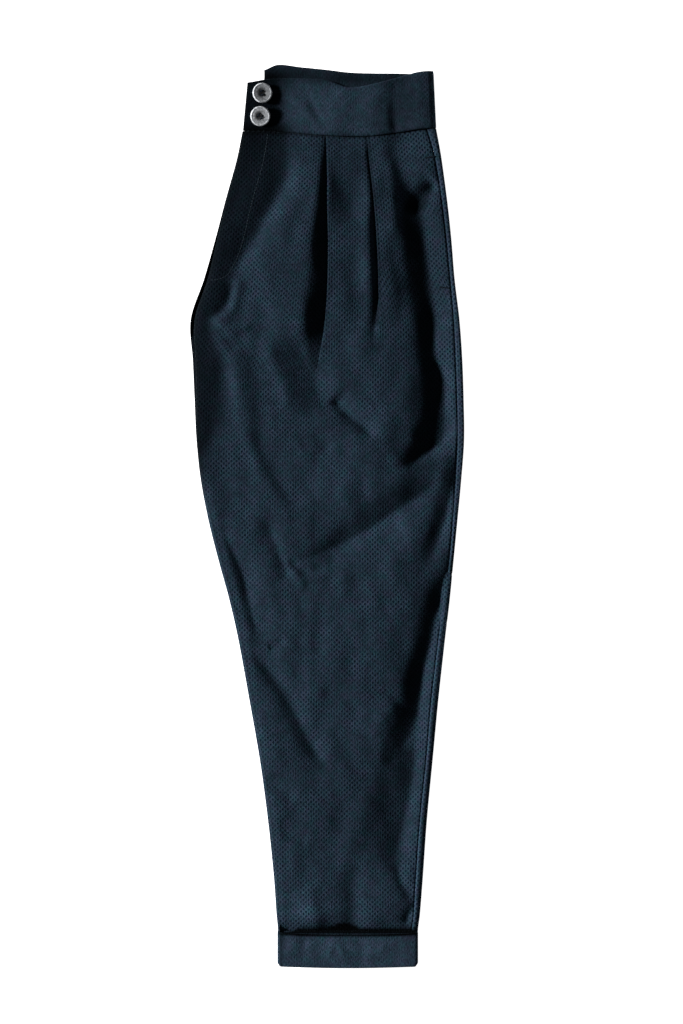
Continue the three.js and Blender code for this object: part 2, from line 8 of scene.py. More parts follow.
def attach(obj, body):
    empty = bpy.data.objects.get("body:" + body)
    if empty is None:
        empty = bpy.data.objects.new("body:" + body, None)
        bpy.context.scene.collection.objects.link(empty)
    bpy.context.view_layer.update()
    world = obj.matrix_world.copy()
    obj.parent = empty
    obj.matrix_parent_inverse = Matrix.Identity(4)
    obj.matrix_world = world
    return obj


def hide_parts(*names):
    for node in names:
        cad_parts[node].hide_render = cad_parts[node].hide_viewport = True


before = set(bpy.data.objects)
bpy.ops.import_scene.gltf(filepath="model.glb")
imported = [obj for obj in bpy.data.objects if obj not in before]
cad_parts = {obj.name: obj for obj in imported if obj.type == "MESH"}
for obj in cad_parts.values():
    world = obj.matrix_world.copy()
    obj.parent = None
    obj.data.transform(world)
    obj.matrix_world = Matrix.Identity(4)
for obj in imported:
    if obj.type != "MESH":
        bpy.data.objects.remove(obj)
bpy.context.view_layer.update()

# Pleated trousers, folded in half along the centre front and laid flat, left leg on top.
# Sizes and places here are millimetres, and each mesh is turned to metres when it is made.
# Tables run from the waist down, or from the centre front to the side.

mm = 0.001
cloth = 1.2  # one layer
gap = 0.3  # between pieces at a seam
print("Frame loaded:", len(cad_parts), "nodes")


def readTable(table, column, place):  # a smooth curve through one column of the table
    rows = sorted(table)
    keys = np.array([row[0] for row in rows], float)
    values = np.array([row[column] for row in rows], float)
    place = np.clip(np.asarray(place, float), keys[0], keys[-1])
    slopes = np.diff(values) / np.diff(keys)
    middle = (values[2:] - values[:-2]) / (keys[2:] - keys[:-2])
    slopes = np.concatenate([slopes[:1], middle, slopes[-1:]])
    i = np.clip(np.searchsorted(keys, place, side="right") - 1, 0, len(keys) - 2)
    span = keys[i + 1] - keys[i]
    t = (place - keys[i]) / span
    ease = t * t * (3 - 2 * t)
    bend = t * (1 - t) * span * ((1 - t) * slopes[i] - t * slopes[i + 1])
    return values[i] + (values[i + 1] - values[i]) * ease + bend


def smooth(value, low, high):
    t = np.clip((np.asarray(value, float) - low) / (high - low), 0, 1)
    return t * t * (3 - 2 * t)


def bell(value, middle, reach):
    return np.exp(-((value - middle) / reach) ** 2)


def dentLift(dents, x, y):  # dents are (x, y, reach each way, slant, height)
    total = 0
    for cx, cy, wide, tall, slant, height in dents:
        total += height * bell(x - slant * (y - cy), cx, wide) * bell(y, cy, tall)
    return float(total)


def noLift(x, y):
    return 0


# The shape that all the panels share

legs = {
    # height, upper leg's left edge, lower leg's left edge, side seam, right edge, loft of the
    # top layer, and the shares of that loft where the upper and the lower front end at the left
    "rows": [
        (404, -88.3, -88.8, 105, 114.7, 14, 0.82, 0.78),
        (374, -94.3, -94.8, 113.5, 120.2, 18, 0.8, 0.76),
        (332, -105.3, -106.3, 120.5, 126, 21, 0.78, 0.74),
        (290, -115.3, -117.3, 125.5, 130.5, 22.5, 0.75, 0.7),
        (248, -125.3, -129.3, 129.5, 134, 23.5, 0.7, 0.6),
        (206, -138.8, -143.3, 133, 139, 23.5, 0.66, 0.5),
        (164, -137.8, -141.3, 135, 142, 23.5, 0.75, 0.25),
        (122, -136.9, -139.4, 136.5, 143.5, 23, 0.75, 0.25),
        (80, -136.4, -137.4, 137, 144, 22, 0.75, 0.25),
        (38, -131.3, -132.9, 135, 141, 21, 0.75, 0.25),
        (-4, -122.5, -124.9, 132, 137, 20, 0.75, 0.25),
        (-46, -112, -114.4, 128.5, 133, 19, 0.75, 0.25),
        (-88, -100.5, -102.9, 123.5, 129, 18, 0.75, 0.25),
        (-130, -91, -93.4, 117, 124, 17.5, 0.75, 0.25),
        (-193, -79.5, -81.9, 109.5, 117, 17, 0.75, 0.25),
        (-256, -68.5, -70.9, 104, 111, 16.5, 0.75, 0.25),
        (-319, -60, -62.4, 97.5, 105, 15.5, 0.75, 0.25),
        (-382, -53.5, -55.9, 93, 100.5, 14.5, 0.75, 0.25),
        (-418, -52.2, -53.4, 91, 97.7, 14, 0.78, 0.25),
        (-434, -50.7, -51.9, 89, 95.7, 12.7, 0.92, 0.25),
        (-450, -50.2, -51.4, 88.5, 95.2, 12.4, 0.94, 0.25),
    ],
    "waist": 404,
    "crotch": 206,
    "hem": -445.7,
    "roll": 9, "rollSteps": 7,  # how far in from its edge a folded layer turns down
    "flatLoft": 12.5, "crown": 0.2,  # above this loft the top's sides fall, by that share
}
legColumns = {"left": 1, "low": 2, "seam": 3, "right": 4, "loft": 5, "edge": 6, "lowEdge": 7}

waist = {
    # along the waist: the seam to the legs, top edge of the front, top edge of the back, face
    "rows": [
        (-89, 404, 454.5, 466, 15.6),
        (-66, 404, 458, 468.5, 16),
        (-52, 403, 459, 474, 15.6),
        (-28, 400.6, 459, 471.5, 16.4),
        (0, 398.4, 457, 468.5, 17.6),
        (24, 397.5, 449.5, 465.6, 18),
        (50, 398, 453.5, 464.8, 17.8),
        (77, 402, 461, 464.8, 15.8),
        (96, 405, 466, 464, 16.4),
        (115, 406.5, 467.5, 464.5, 15.8),
    ],
}
waistColumns = {"seam": 1, "top": 2, "backTop": 3, "face": 4}


def leg(name, y):
    return readTable(legs["rows"], legColumns[name], y)


def band(name, x):
    return readTable(waist["rows"], waistColumns[name], x)


# The folds of the top layer: their line, how wide they are to the west and to the east of a line
# that runs down, and how high or deep they are. A valley's line is its bottom. A fold fades in
# over the first part of its points and out over the last, so close points make a short end.
topFolds = [
    ("belly bulge", [(-4, 418), (-11, 350), (-17, 300), (-23, 255), (-27, 210), (-31, 152)], 46, 15, 6.4),
    ("fly step", [(-38, 392), (-43, 353), (-52, 332), (-66, 311), (-75, 290), (-90, 269), (-103, 247)],
     12, 10, -3.7),
    ("hip ridge", [(-28, 372), (-30, 353), (-36, 332), (-50, 311), (-58, 290), (-72, 269), (-90, 248)],
     10, 18, 1.4),
    ("fly hook", [(-99, 246), (-102, 228), (-106, 219), (-118, 212)], 6, 5, -3.4),
    ("fly lip", [(-93, 252), (-96, 228), (-103, 214), (-121, 205)], 4, 6, 3),
    ("crotch lip", [(-121, 204), (-104, 196), (-92, 196), (-78, 199)], 4, 5, 2.4),
    ("crotch pit", [(-113, 196), (-104, 184), (-96, 172)], 5, 7, -2.4),
    ("crotch ridge", [(-121, 208), (-110, 190), (-100, 171), (-95, 148), (-92, 122), (-90, 96)],
     8, 20, 2.6),
    ("thigh ridge", [(-88, 112), (-79, 77), (-62, 42), (-47, 14), (-37, -10)], 13, 13, 2.4),
    ("crotch hollow", [(-80, 172), (-73, 145), (-68, 120), (-63, 95)], 9, 10, -0.5),
    ("thigh trough", [(-74, 98), (-66, 62), (-48, 31), (-30, 4)], 8, 11, -1.8),
    ("belly ridge", [(-68, 190), (-59, 168), (-52, 150), (-44, 128), (-38, 108)], 7, 9, 2.2),
    ("belly valley", [(-34, 192), (-23, 165), (-13, 143), (-6, 122), (4, 102)], 18, 17, -4.6),
    ("thigh crease", [(4, 124), (16, 112), (30, 100), (52, 82)], 7, 13, -6.4),
    ("pocket branch", [(66, 404), (74, 376), (81, 350), (86, 325)], 9, 13, -2.4),
    ("pocket spur", [(116, 350), (106, 341), (96, 331), (86, 316)], 10, 8, -7),
    ("pocket hollow", [(84, 368), (91, 338), (97, 308), (100, 280), (103, 262), (105, 244), (108, 224),
                       (110, 205), (112, 170), (119, 145), (122, 120), (121, 100), (115, 84), (106, 74),
                       (96, 66), (86, 59), (76, 52)], 21, 25, -11.5),
    ("pocket basin", [(114, 168), (115, 132), (113, 106), (108, 88), (98, 72)], 15, 8, -5),
    ("pocket knee", [(132, 106), (126, 88), (116, 76), (104, 67), (92, 59), (80, 51)], 11, 8, -3.6),
    ("hip corner", [(160, 92), (153, 76), (146, 60), (139, 44), (133, 28), (128, 14), (123, -2),
                     (111, -34), (97, -66)], 14, 10, -6.4),
    ("thigh slant", [(122, 41), (104, 27), (75, 8), (42, -15), (8, -33), (-34, -50)], 20, 20, -6),
    ("thigh light", [(52, 86), (40, 62), (22, 34), (0, 8)], 34, 17, 1.6),
    ("knee left", [(-116, 0), (-100, -34), (-88, -62), (-82, -88), (-77, -110), (-71, -134)],
     8, 13, -4.4),
    ("knee arc", [(-44, -128), (-54, -136), (-62, -138)], 4, 5, -1.8),
    ("shin left", [(-92, -128), (-68, -156), (-52, -177), (-40, -197), (-31, -215), (-21, -235),
                   (-9, -253), (8, -272)], 12, 12, -4.8),
    ("knee vee", [(-64, 2), (-54, -30), (-46, -50), (-36, -67)], 9, 9, -3.2),
    ("knee cup", [(-41, -44), (-32, -54), (-18, -58), (2, -53)], 4, 5, -2.4),
    ("knee light", [(-44, -44), (-32, -62), (-22, -76)], 5, 5, 1.6),
    ("shin right", [(186, -2), (164, -28), (137, -57), (121, -86), (112, -109), (108, -130), (103, -151),
                    (99, -172), (96, -193), (92, -214), (83, -236), (68, -268)], 19, 18, -10.6),
    ("shin foot", [(92, -214), (91, -258), (87, -290), (81, -315), (76, -340), (67, -374)],
     34, 13, -8),
    ("ankle line", [(74, -362), (78, -385), (91, -403)], 5, 6, -2),
    ("ankle corner", [(104, -396), (94, -407), (86, -419), (82, -432)], 7, 7, -4.4),
    ("ankle one", [(-62, -276), (-50, -288), (-34, -300)], 6, 8, -1.9),
    ("ankle two", [(-54, -326), (-38, -335), (-20, -343)], 6, 8, -1.7),
    ("ankle three", [(-6, -300), (8, -316), (24, -336)], 7, 9, -0.5),
    ("shin fork", [(6, -220), (20, -246), (32, -275)], 8, 9, -1.2),
    ("cuff pinch", [(22, -370), (24, -396), (26, -420), (24, -440)], 12, 12, -2.2),
    ("cuff light", [(-22, -388), (-16, -412), (-10, -438)], 16, 10, 2.4),
    ("knee wrinkle one", [(-28, -80), (-25, -109), (-30, -141)], 6, 7, -0.7),
    ("knee wrinkle two", [(-7, -74), (-4, -104), (-10, -150)], 7, 6, -0.8),
    ("knee wrinkle three", [(15, -88), (18, -112), (15, -136)], 6, 7, -0.5),
    ("knee wrinkle four", [(38, -72), (41, -109), (36, -152)], 7, 6, -0.6),
    ("flap groove", [(24, 370), (27, 300), (28, 240), (32, 180)], 9, 9, -0.9),
    ("flap ridge", [(40, 330), (42, 280), (42, 230)], 6, 6, 1.4),
    ("side ridge", [(66, 380), (68, 330), (70, 290)], 6, 7, 1.5),
    ("side groove", [(70, 300), (72, 262), (78, 225), (76, 190)], 7, 8, -0.9),
    ("thigh fold", [(-30, 74), (-12, 80), (6, 66)], 8, 9, -1.5),
    ("shin light", [(74, -196), (56, -214), (46, -232)], 16, 9, 2),
    ("calf patch", [(-7, -183), (19, -193), (39, -210)], 9, 9, -1.3),
    ("above cuff", [(-90, -437), (-30, -438), (12, -435), (50, -438), (130, -438)], 9, 9, -7),
    ("cuff puff", [(-60, -421), (-20, -419), (21, -416), (70, -420), (110, -421)], 7, 7, 1.4),
]

# The lower leg's own folds, pressed flatter by the layers that lie on it.
lowFolds = [
    ("hip", [(96, 380), (108, 270), (112, 150), (96, 70)], 12, 12, 1.6),
    ("fly", [(-40, 380), (-74, 300), (-100, 232)], 9, 10, 1.2),
    ("crotch", [(-112, 196), (-84, 110), (-60, 20)], 9, 9, 1.4),
    ("thigh", [(108, 60), (50, 10), (-20, -30)], 12, 10, 1.7),
    ("knee", [(-100, -30), (-80, -110), (-50, -190), (-20, -250)], 9, 10, 1.5),
    ("shin", [(118, -70), (96, -150), (84, -230), (70, -300)], 11, 10, 1.7),
    ("ankle", [(60, -300), (30, -350), (10, -400)], 10, 10, 1.2),
]
# Long low waves under the folds, which run within lean of straight up, in radians.
waves = {"count": 26, "shortest": 16, "longest": 70, "height": 0.42, "lean": 0.7, "seed": 7}
foldShape = {
    "fade": 0.22,  # share of a fold's line where it fades, at each end
    "reach": 2.6,  # how many of its widths it is worked out for
    "deepFrom": -2.5, "deep": 1.35, "round": 1.8,  # past this depth its bottom is sharper
}


def smoothRoute(points, steps=8):
    ends = [points[0], *points, points[-1]]
    route = []
    for i in range(len(points) - 1):
        a, b, c, d = (np.array(p, float) for p in ends[i:i + 4])
        for t in np.arange(steps) / steps:
            route.append(0.5 * (2 * b + (c - a) * t + (2 * a - 5 * b + 4 * c - d) * t ** 2
                                + (3 * b - a - 3 * c + d) * t ** 3))
    return np.array([*route, points[-1]], float)


def addFold(heights, x, y, points, west, east, height):
    route = smoothRoute(points)
    reach = foldShape["reach"] * max(west, east)
    near = ((x > route[:, 0].min() - reach) & (x < route[:, 0].max() + reach)
            & (y > route[:, 1].min() - reach) & (y < route[:, 1].max() + reach))
    px, py = x[near], y[near]
    best = np.full(px.shape, 1e9)
    share = np.zeros(px.shape)
    side = np.zeros(px.shape)
    for i in range(len(route) - 1):
        ax, ay = route[i]
        dx, dy = route[i + 1] - route[i]
        t = np.clip(((px - ax) * dx + (py - ay) * dy) / (dx * dx + dy * dy + 1e-9), 0, 1)
        away = np.hypot(px - ax - t * dx, py - ay - t * dy)
        closer = away < best
        best = np.where(closer, away, best)
        share = np.where(closer, (i + t) / (len(route) - 1), share)
        side = np.where(closer, dx * (py - ay) - dy * (px - ax), side)
    width = np.where(side < 0, west, east)
    fade = smooth(share, 0, foldShape["fade"]) * (1 - smooth(share, 1 - foldShape["fade"], 1))
    power = foldShape["deep"] if height < foldShape["deepFrom"] else foldShape["round"]
    heights[near] += height * fade * np.exp(-(best / width) ** power)


def clothWaves(x, y):
    chance = np.random.default_rng(waves["seed"])
    total = np.zeros(x.shape)
    for _ in range(waves["count"]):
        length = chance.uniform(waves["shortest"], waves["longest"])
        angle = chance.uniform(-waves["lean"], waves["lean"])
        phase = chance.uniform(0, 2 * math.pi)
        across = x * math.cos(angle) + y * math.sin(angle)
        total += length * np.sin(2 * math.pi * across / length + phase)
    middle = (waves["shortest"] + waves["longest"]) / 2
    return total * waves["height"] / middle / math.sqrt(waves["count"] / 2)


# Each layer's folds are worked out once on a fine map, which the panels then read.
mapStep = 1.5
mapX = np.arange(-156, 157, mapStep)
mapY = np.arange(-480, 421, mapStep)
gridX, gridY = np.meshgrid(mapX, mapY)


def foldMap(folds, heights):
    for _, points, west, east, height in folds:
        addFold(heights, gridX, gridY, points, west, east, height)
    return heights


topMap = foldMap(topFolds, clothWaves(gridX, gridY))
lowMap = foldMap(lowFolds, np.zeros(gridX.shape))


def readMap(heights, x, y):
    column = np.clip((np.asarray(x, float) - mapX[0]) / mapStep, 0, len(mapX) - 1.001)
    row = np.clip((np.asarray(y, float) - mapY[0]) / mapStep, 0, len(mapY) - 1.001)
    i, j = row.astype(int), column.astype(int)
    t, s = row - i, column - j
    low = heights[i, j] * (1 - s) + heights[i, j + 1] * s
    high = heights[i + 1, j] * (1 - s) + heights[i + 1, j + 1] * s
    return low * (1 - t) + high * t


def topHeight(x, y):  # of the middle of the top layer's cloth
    across = (x - leg("left", y)) / (leg("right", y) - leg("left", y))
    crown = (leg("loft", y) - legs["flatLoft"]) * legs["crown"] * np.abs(2 * across - 1) ** 3
    return leg("loft", y) - crown + readMap(topMap, x, y)


def lowHeight(x, y):  # of the middle of the bottom layer's cloth
    edge = np.minimum(x - leg("low", y), leg("right", y) - x)
    return cloth / 2 + np.maximum(readMap(lowMap, x, y), 0) * smooth(edge, 6, 30)


def followSeam(x, y):  # rows bend near the waist to end along its seam
    near = smooth(y, legs["waist"] - 60, legs["waist"])
    return y + near * (band("seam", x) - legs["waist"])


def seamDepth(y):  # share of the side seam's groove that shows, all of it at the hip
    return 0.25 + 0.75 * smooth(y, 80, 260)


def seamRidge(y):  # share of the side seam's ridge that shows, all of it down the leg
    return 1 - smooth(y, -90, 40)


print("Folds mapped:", len(topFolds), "on top and", len(lowFolds), "below")


# Materials

def addNode(tree, kind, links=(), **settings):
    node = tree.nodes.new(kind)
    for name, value in settings.items():
        setattr(node, name, value)
    for socket, source in links:
        if isinstance(source, bpy.types.NodeSocket):
            tree.links.new(source, node.inputs[socket])
        else:
            node.inputs[socket].default_value = source
    return node


def addMath(tree, operation, *values):
    node = addNode(tree, "ShaderNodeMath", enumerate(values), operation=operation)
    return node.outputs[0]


def newGroup(name, inputs, outputs):
    group = bpy.data.node_groups.new(name, "ShaderNodeTree")
    for label, kind in inputs:
        group.interface.new_socket(name=label, in_out="INPUT", socket_type=kind)
    for label, kind in outputs:
        group.interface.new_socket(name=label, in_out="OUTPUT", socket_type=kind)
    return group, group.nodes.new("NodeGroupInput"), group.nodes.new("NodeGroupOutput")


def makePinDots():  # a staggered lattice of round dots, 1 inside a dot and 0 between them
    group, inside, out = newGroup(
        "pinDots",
        [("Cloth", "NodeSocketVector"), ("Across", "NodeSocketFloat"),
         ("Along", "NodeSocketFloat"), ("Radius", "NodeSocketFloat")],
        [("Dot", "NodeSocketFloat")])
    parts = addNode(group, "ShaderNodeSeparateXYZ", [(0, inside.outputs["Cloth"])])
    across, along = inside.outputs["Across"], inside.outputs["Along"]
    dots = []
    for shift in (0, 0.5):
        ends = []
        for axis, pitch in ((0, across), (1, along)):
            cell = addMath(group, "DIVIDE", parts.outputs[axis], pitch)
            cell = addMath(group, "FRACT", addMath(group, "ADD", cell, shift))
            ends.append(addMath(group, "MULTIPLY", addMath(group, "SUBTRACT", cell, 0.5), pitch))
        squares = [addMath(group, "MULTIPLY", end, end) for end in ends]
        away = addMath(group, "SQRT", addMath(group, "ADD", *squares))
        edge = addNode(group, "ShaderNodeMapRange",
                       [("Value", addMath(group, "DIVIDE", away, inside.outputs["Radius"])),
                        ("From Min", 0.55), ("From Max", 1.25), ("To Min", 1), ("To Max", 0)],
                       interpolation_type="SMOOTHSTEP")
        dots.append(edge.outputs[0])
    group.links.new(addMath(group, "MAXIMUM", *dots), out.inputs["Dot"])
    return group


def makePile():  # brushed patches, finer mottling, drifts of colour and upright fibres, all -1 to 1
    group, inside, out = newGroup(
        "pile",
        [("Place", "NodeSocketVector"), ("Patch Size", "NodeSocketFloat"),
         ("Mottle Size", "NodeSocketFloat"), ("Fibre Size", "NodeSocketFloat")],
        [(name, "NodeSocketFloat") for name in ("Patch", "Mottle", "Tint", "Fibre")])
    place = inside.outputs["Place"]
    slim = addNode(group, "ShaderNodeVectorMath", [(0, place), (1, (1, 0.4, 1))],
                   operation="MULTIPLY").outputs[0]
    turned = addNode(group, "ShaderNodeVectorMath", [(0, place), (1, (7.3, 3.1, 1.7))],
                     operation="ADD").outputs[0]
    for name, source, size, detail in (("Patch", place, "Patch Size", 3.0),
                                       ("Mottle", place, "Mottle Size", 3.0),
                                       ("Tint", turned, "Mottle Size", 4.0),
                                       ("Fibre", slim, "Fibre Size", 2.0)):
        noise = addNode(group, "ShaderNodeTexNoise",
                        [("Vector", source), ("Detail", detail), ("Roughness", 0.6),
                         ("Scale", addMath(group, "DIVIDE", 1.0, inside.outputs[size]))])
        spread = addNode(group, "ShaderNodeMapRange",
                         [("Value", noise.outputs[0]), ("From Min", 0.3), ("From Max", 0.7),
                          ("To Min", -1.0), ("To Max", 1.0)])
        group.links.new(spread.outputs[0], out.inputs[name])
    return group


pinDots = makePinDots()
pile = makePile()


def newMaterial(name):
    material = bpy.data.materials.new(name)
    material.use_nodes = True
    tree = material.node_tree
    return material, tree, tree.nodes["Principled BSDF"]


def addMix(tree, factor, first, second, blend="MIX"):
    node = addNode(tree, "ShaderNodeMix", data_type="RGBA", blend_type=blend)
    for socket, value in ((0, factor), (6, first), (7, second)):
        if isinstance(value, bpy.types.NodeSocket):
            tree.links.new(value, node.inputs[socket])
        else:
            node.inputs[socket].default_value = value
    return node.outputs[2]


velveteen = {
    "colour": (0.0152, 0.0264, 0.0375), "teal": (0.72, 1.1, 1.0, 1), "plum": (1.28, 0.91, 1.09, 1),
    "across": 5.4 * mm, "along": 5.0 * mm, "dot": 1.15 * mm, "dotDepth": 0.5 * mm, "dotShade": 0.66,
    "dotTint": (0.7, 0.95, 1.3, 1),
    "dotShare": 0.82, "dotChange": 0.4,  # how much of a dot shows, and how much that changes
    "patch": 36 * mm, "mottle": 9 * mm, "fibre": 1.1 * mm,
    "patchShade": 0.2, "mottleShade": 0.14, "fibreShade": 0.38,
    "mottleHeight": 0.1 * mm, "fibreHeight": 0.14 * mm,
    "rim": (0.5, 0.95, 2.2),  # painted sheen: where an edge turned from the camera starts and ends getting paler, and how much
    "roughness": 0.9, "specular": 0.02,
    "sheen": 0.03, "sheenRoughness": 0.4, "sheenTint": (0.5, 0.7, 0.85, 1),
}


def makeVelveteen(name, shade, dots):
    material, tree, shader = newMaterial(name)
    v = velveteen
    clothMap = addNode(tree, "ShaderNodeUVMap", uv_map="cloth").outputs[0]
    # a per-point colour factor: the pile's brushed patches, with painted shade and painted highlight
    pileAndPaintedLightMark = addNode(tree, "ShaderNodeAttribute", attribute_name="nap").outputs["Fac"]
    brushed = addNode(tree, "ShaderNodeGroup", node_tree=pile)
    tree.links.new(clothMap, brushed.inputs["Place"])
    for socket, value in (("Patch Size", "patch"), ("Mottle Size", "mottle"), ("Fibre Size", "fibre")):
        brushed.inputs[socket].default_value = v[value]
    dotted = addNode(tree, "ShaderNodeGroup", node_tree=pinDots)
    tree.links.new(clothMap, dotted.inputs["Cloth"])
    for socket, value in (("Across", "across"), ("Along", "along"), ("Radius", "dot")):
        dotted.inputs[socket].default_value = v[value]
    brushedOver = addMath(tree, "MULTIPLY_ADD", brushed.outputs["Patch"], v["dotChange"], v["dotShare"])
    seen = addNode(tree, "ShaderNodeClamp", [(0, brushedOver)]).outputs[0]
    sunk = addMath(tree, "MULTIPLY", addMath(tree, "MULTIPLY", dotted.outputs["Dot"], seen), dots)

    # the base colour is scaled by that factor, so painted shade and painted highlight go into it
    light = addMath(tree, "MULTIPLY", pileAndPaintedLightMark, shade)
    for output, amount in (("Patch", "patchShade"), ("Mottle", "mottleShade"), ("Fibre", "fibreShade")):
        change = addMath(tree, "MULTIPLY", brushed.outputs[output], v[amount])
        light = addMath(tree, "MULTIPLY", light, addMath(tree, "ADD", change, 1.0))
    hole = addMath(tree, "SUBTRACT", 1.0, addMath(tree, "MULTIPLY", sunk, v["dotShade"]))
    # painted sheen: the colour grows paler as the surface turns away from the camera
    facing = addNode(tree, "ShaderNodeLayerWeight", [("Blend", 0.5)]).outputs["Facing"]
    rim = addNode(tree, "ShaderNodeMapRange",
                  [("Value", facing), ("From Min", v["rim"][0]), ("From Max", v["rim"][1]),
                   ("To Min", 1.0), ("To Max", v["rim"][2])]).outputs[0]
    light = addMath(tree, "MULTIPLY", addMath(tree, "MULTIPLY", light, hole), rim)
    drift = addMath(tree, "MULTIPLY_ADD", brushed.outputs["Tint"], 0.5, 0.5)
    tint = addMix(tree, drift, v["teal"], v["plum"])
    colour = addMix(tree, 1.0, (*v["colour"], 1), tint, "MULTIPLY")
    colour = addMix(tree, sunk, colour, addMix(tree, 1.0, colour, v["dotTint"], "MULTIPLY"))
    final = addNode(tree, "ShaderNodeVectorMath", [(0, colour), ("Scale", light)], operation="SCALE")
    tree.links.new(final.outputs[0], shader.inputs["Base Color"])

    height = addMath(tree, "MULTIPLY", sunk, -v["dotDepth"])
    for output, amount in (("Mottle", "mottleHeight"), ("Fibre", "fibreHeight")):
        relief = addMath(tree, "MULTIPLY", brushed.outputs[output], v[amount])
        height = addMath(tree, "ADD", height, relief)
    bump = addNode(tree, "ShaderNodeBump", [("Height", height), ("Distance", 1.0), ("Strength", 1.0)])
    tree.links.new(bump.outputs[0], shader.inputs["Normal"])
    shader.inputs["Roughness"].default_value = v["roughness"]
    shader.inputs["Specular IOR Level"].default_value = v["specular"]
    shader.inputs["Sheen Weight"].default_value = v["sheen"]
    shader.inputs["Sheen Roughness"].default_value = v["sheenRoughness"]
    shader.inputs["Sheen Tint"].default_value = v["sheenTint"]
    return material


navyCloth = makeVelveteen("navyVelveteen", 1.0, 1.0)
bandCloth = makeVelveteen("bandVelveteen", 1.0, 0.35)
# a darker copy of the velveteen: painted shade for the back band that lies below the front band
shadedBandBackCloth = makeVelveteen("shadedBandBackVelveteen", 0.62, 0.2)

threadColour = {
    "navy": (0.006, 0.010, 0.016), "pale": (0.034, 0.048, 0.06),
    "roughness": 0.85, "specular": 0.08,
    "twist": 2600, "twistShade": (0.7, 1.3), "twistHeight": 0.05 * mm,
}


def makeThread(name, base):
    material, tree, shader = newMaterial(name)
    place = addNode(tree, "ShaderNodeTexCoord").outputs["Object"]
    twist = addNode(tree, "ShaderNodeTexWave",
                    [("Vector", place), ("Scale", threadColour["twist"]), ("Distortion", 1.0)],
                    bands_direction="DIAGONAL")
    relief = addMath(tree, "MULTIPLY", twist.outputs["Fac"], threadColour["twistHeight"])
    bump = addNode(tree, "ShaderNodeBump", [("Height", relief), ("Distance", 1.0)])
    low, high = threadColour["twistShade"]
    shade = addNode(tree, "ShaderNodeMapRange", [("Value", twist.outputs["Fac"]),
                                                 ("To Min", low), ("To Max", high)]).outputs[0]
    colour = addNode(tree, "ShaderNodeVectorMath", [(0, base), ("Scale", shade)],
                     operation="SCALE")
    tree.links.new(colour.outputs[0], shader.inputs["Base Color"])
    tree.links.new(bump.outputs[0], shader.inputs["Normal"])
    shader.inputs["Roughness"].default_value = threadColour["roughness"]
    shader.inputs["Specular IOR Level"].default_value = threadColour["specular"]
    return material


shellColour = {
    "dark": (0.13, 0.14, 0.15, 1), "light": (0.62, 0.64, 0.67, 1),
    "mottle": 400, "rings": 5200, "ringShade": 0.08,  # the first two are per metre
    "streak": (0.36, 0.62),
    "well": (1.6 * mm, 8.2 * mm), "middleDark": 0.06,  # the middle is darker: dark inside, clear outside
    "worn": (0.3, 0.55), "coat": 0.2, "relief": 0.1 * mm,
}


def makeShell():
    material, tree, shader = newMaterial("greyShell")
    place = addNode(tree, "ShaderNodeUVMap", uv_map="button").outputs[0]
    mottle = addNode(tree, "ShaderNodeTexNoise",
                     [("Vector", place), ("Scale", shellColour["mottle"]),
                      ("Detail", 5.0), ("Roughness", 0.7)]).outputs[0]
    away = addNode(tree, "ShaderNodeVectorMath", [(0, place)], operation="LENGTH").outputs["Value"]
    # the button is darker towards its middle
    low, high = shellColour["well"]
    well = addNode(tree, "ShaderNodeMapRange",
                   [("Value", away), ("From Min", low), ("From Max", high),
                    ("To Min", shellColour["middleDark"]), ("To Max", 1.0)]).outputs[0]
    ring = addMath(tree, "SINE", addMath(tree, "MULTIPLY", away, shellColour["rings"]))
    turned = addMath(tree, "MULTIPLY_ADD", ring, shellColour["ringShade"], mottle)
    low, high = shellColour["streak"]
    streak = addNode(tree, "ShaderNodeMapRange",
                     [("Value", turned), ("From Min", low), ("From Max", high)]).outputs[0]
    colour = addMix(tree, streak, shellColour["dark"], shellColour["light"])
    darkenedMiddle = addNode(tree, "ShaderNodeVectorMath", [(0, colour), ("Scale", well)], operation="SCALE")
    tree.links.new(darkenedMiddle.outputs[0], shader.inputs["Base Color"])
    low, high = shellColour["worn"]
    worn = addNode(tree, "ShaderNodeMapRange",
                   [("Value", mottle), ("To Min", low), ("To Max", high)]).outputs[0]
    tree.links.new(worn, shader.inputs["Roughness"])
    bump = addNode(tree, "ShaderNodeBump",
                   [("Height", addMath(tree, "MULTIPLY", mottle, shellColour["relief"])),
                    ("Distance", 1.0)])
    tree.links.new(bump.outputs[0], shader.inputs["Normal"])
    shader.inputs["Coat Weight"].default_value = shellColour["coat"]
    return material


navyThread = makeThread("navyThread", threadColour["navy"])
paleThread = makeThread("paleThread", threadColour["pale"])
greyShell = makeShell()
print("Materials made")


# Making sheets of cloth

# Marks in the cloth's colour: some are brushed patches of the pile, and some are painted shade and painted
# highlight where light falls on the folds. Each gives where, how far it reaches each way, and how much
# lighter or darker.
brushedAndPaintedLightMarks = [
    (-88, 430, 30, 60, -0.62),  # round the buttons, painted shade
    (-62, 436, 16, 24, -0.4),
    (-60, 464, 60, 9, -0.5),  # above the band, painted shade
    (30, 458, 60, 7, -0.5),
    (0, 432, 50, 24, 0.16),  # middle of the band
    (70, 418, 9, 26, -0.4),
    (-112, 265, 24, 42, -0.12),  # fly, painted shade
    (92, 440, 22, 30, -0.42),
    (112, 262, 15, 64, -0.3),  # side of the hip, painted shade
    (-44, 280, 26, 70, -0.14),
    (104, 54, 16, 10, -0.35),
    (-122, 60, 14, 34, -0.25),
    (20, 36, 30, 26, 0.3),
    (64, -8, 40, 22, 0.32),
    (36, 106, 20, 9, 0.16),
    (10, -110, 80, 60, 0.1),
    (45, -222, 22, 16, 0.22),
    (20, -410, 90, 40, 0.1),
    (-22, -414, 21, 14, 0.5),  # above the cuff, painted highlight
    (-60, -205, 12, 46, 0.3),
    (-34, -450, 16, 10, 0.18),
    (4, -456, 10, 16, 0.34),
    (45, -450, 16, 12, 0.16),
    (25, -464, 8, 8, -0.26),
    (-28, -461, 8, 6, -0.24),
]
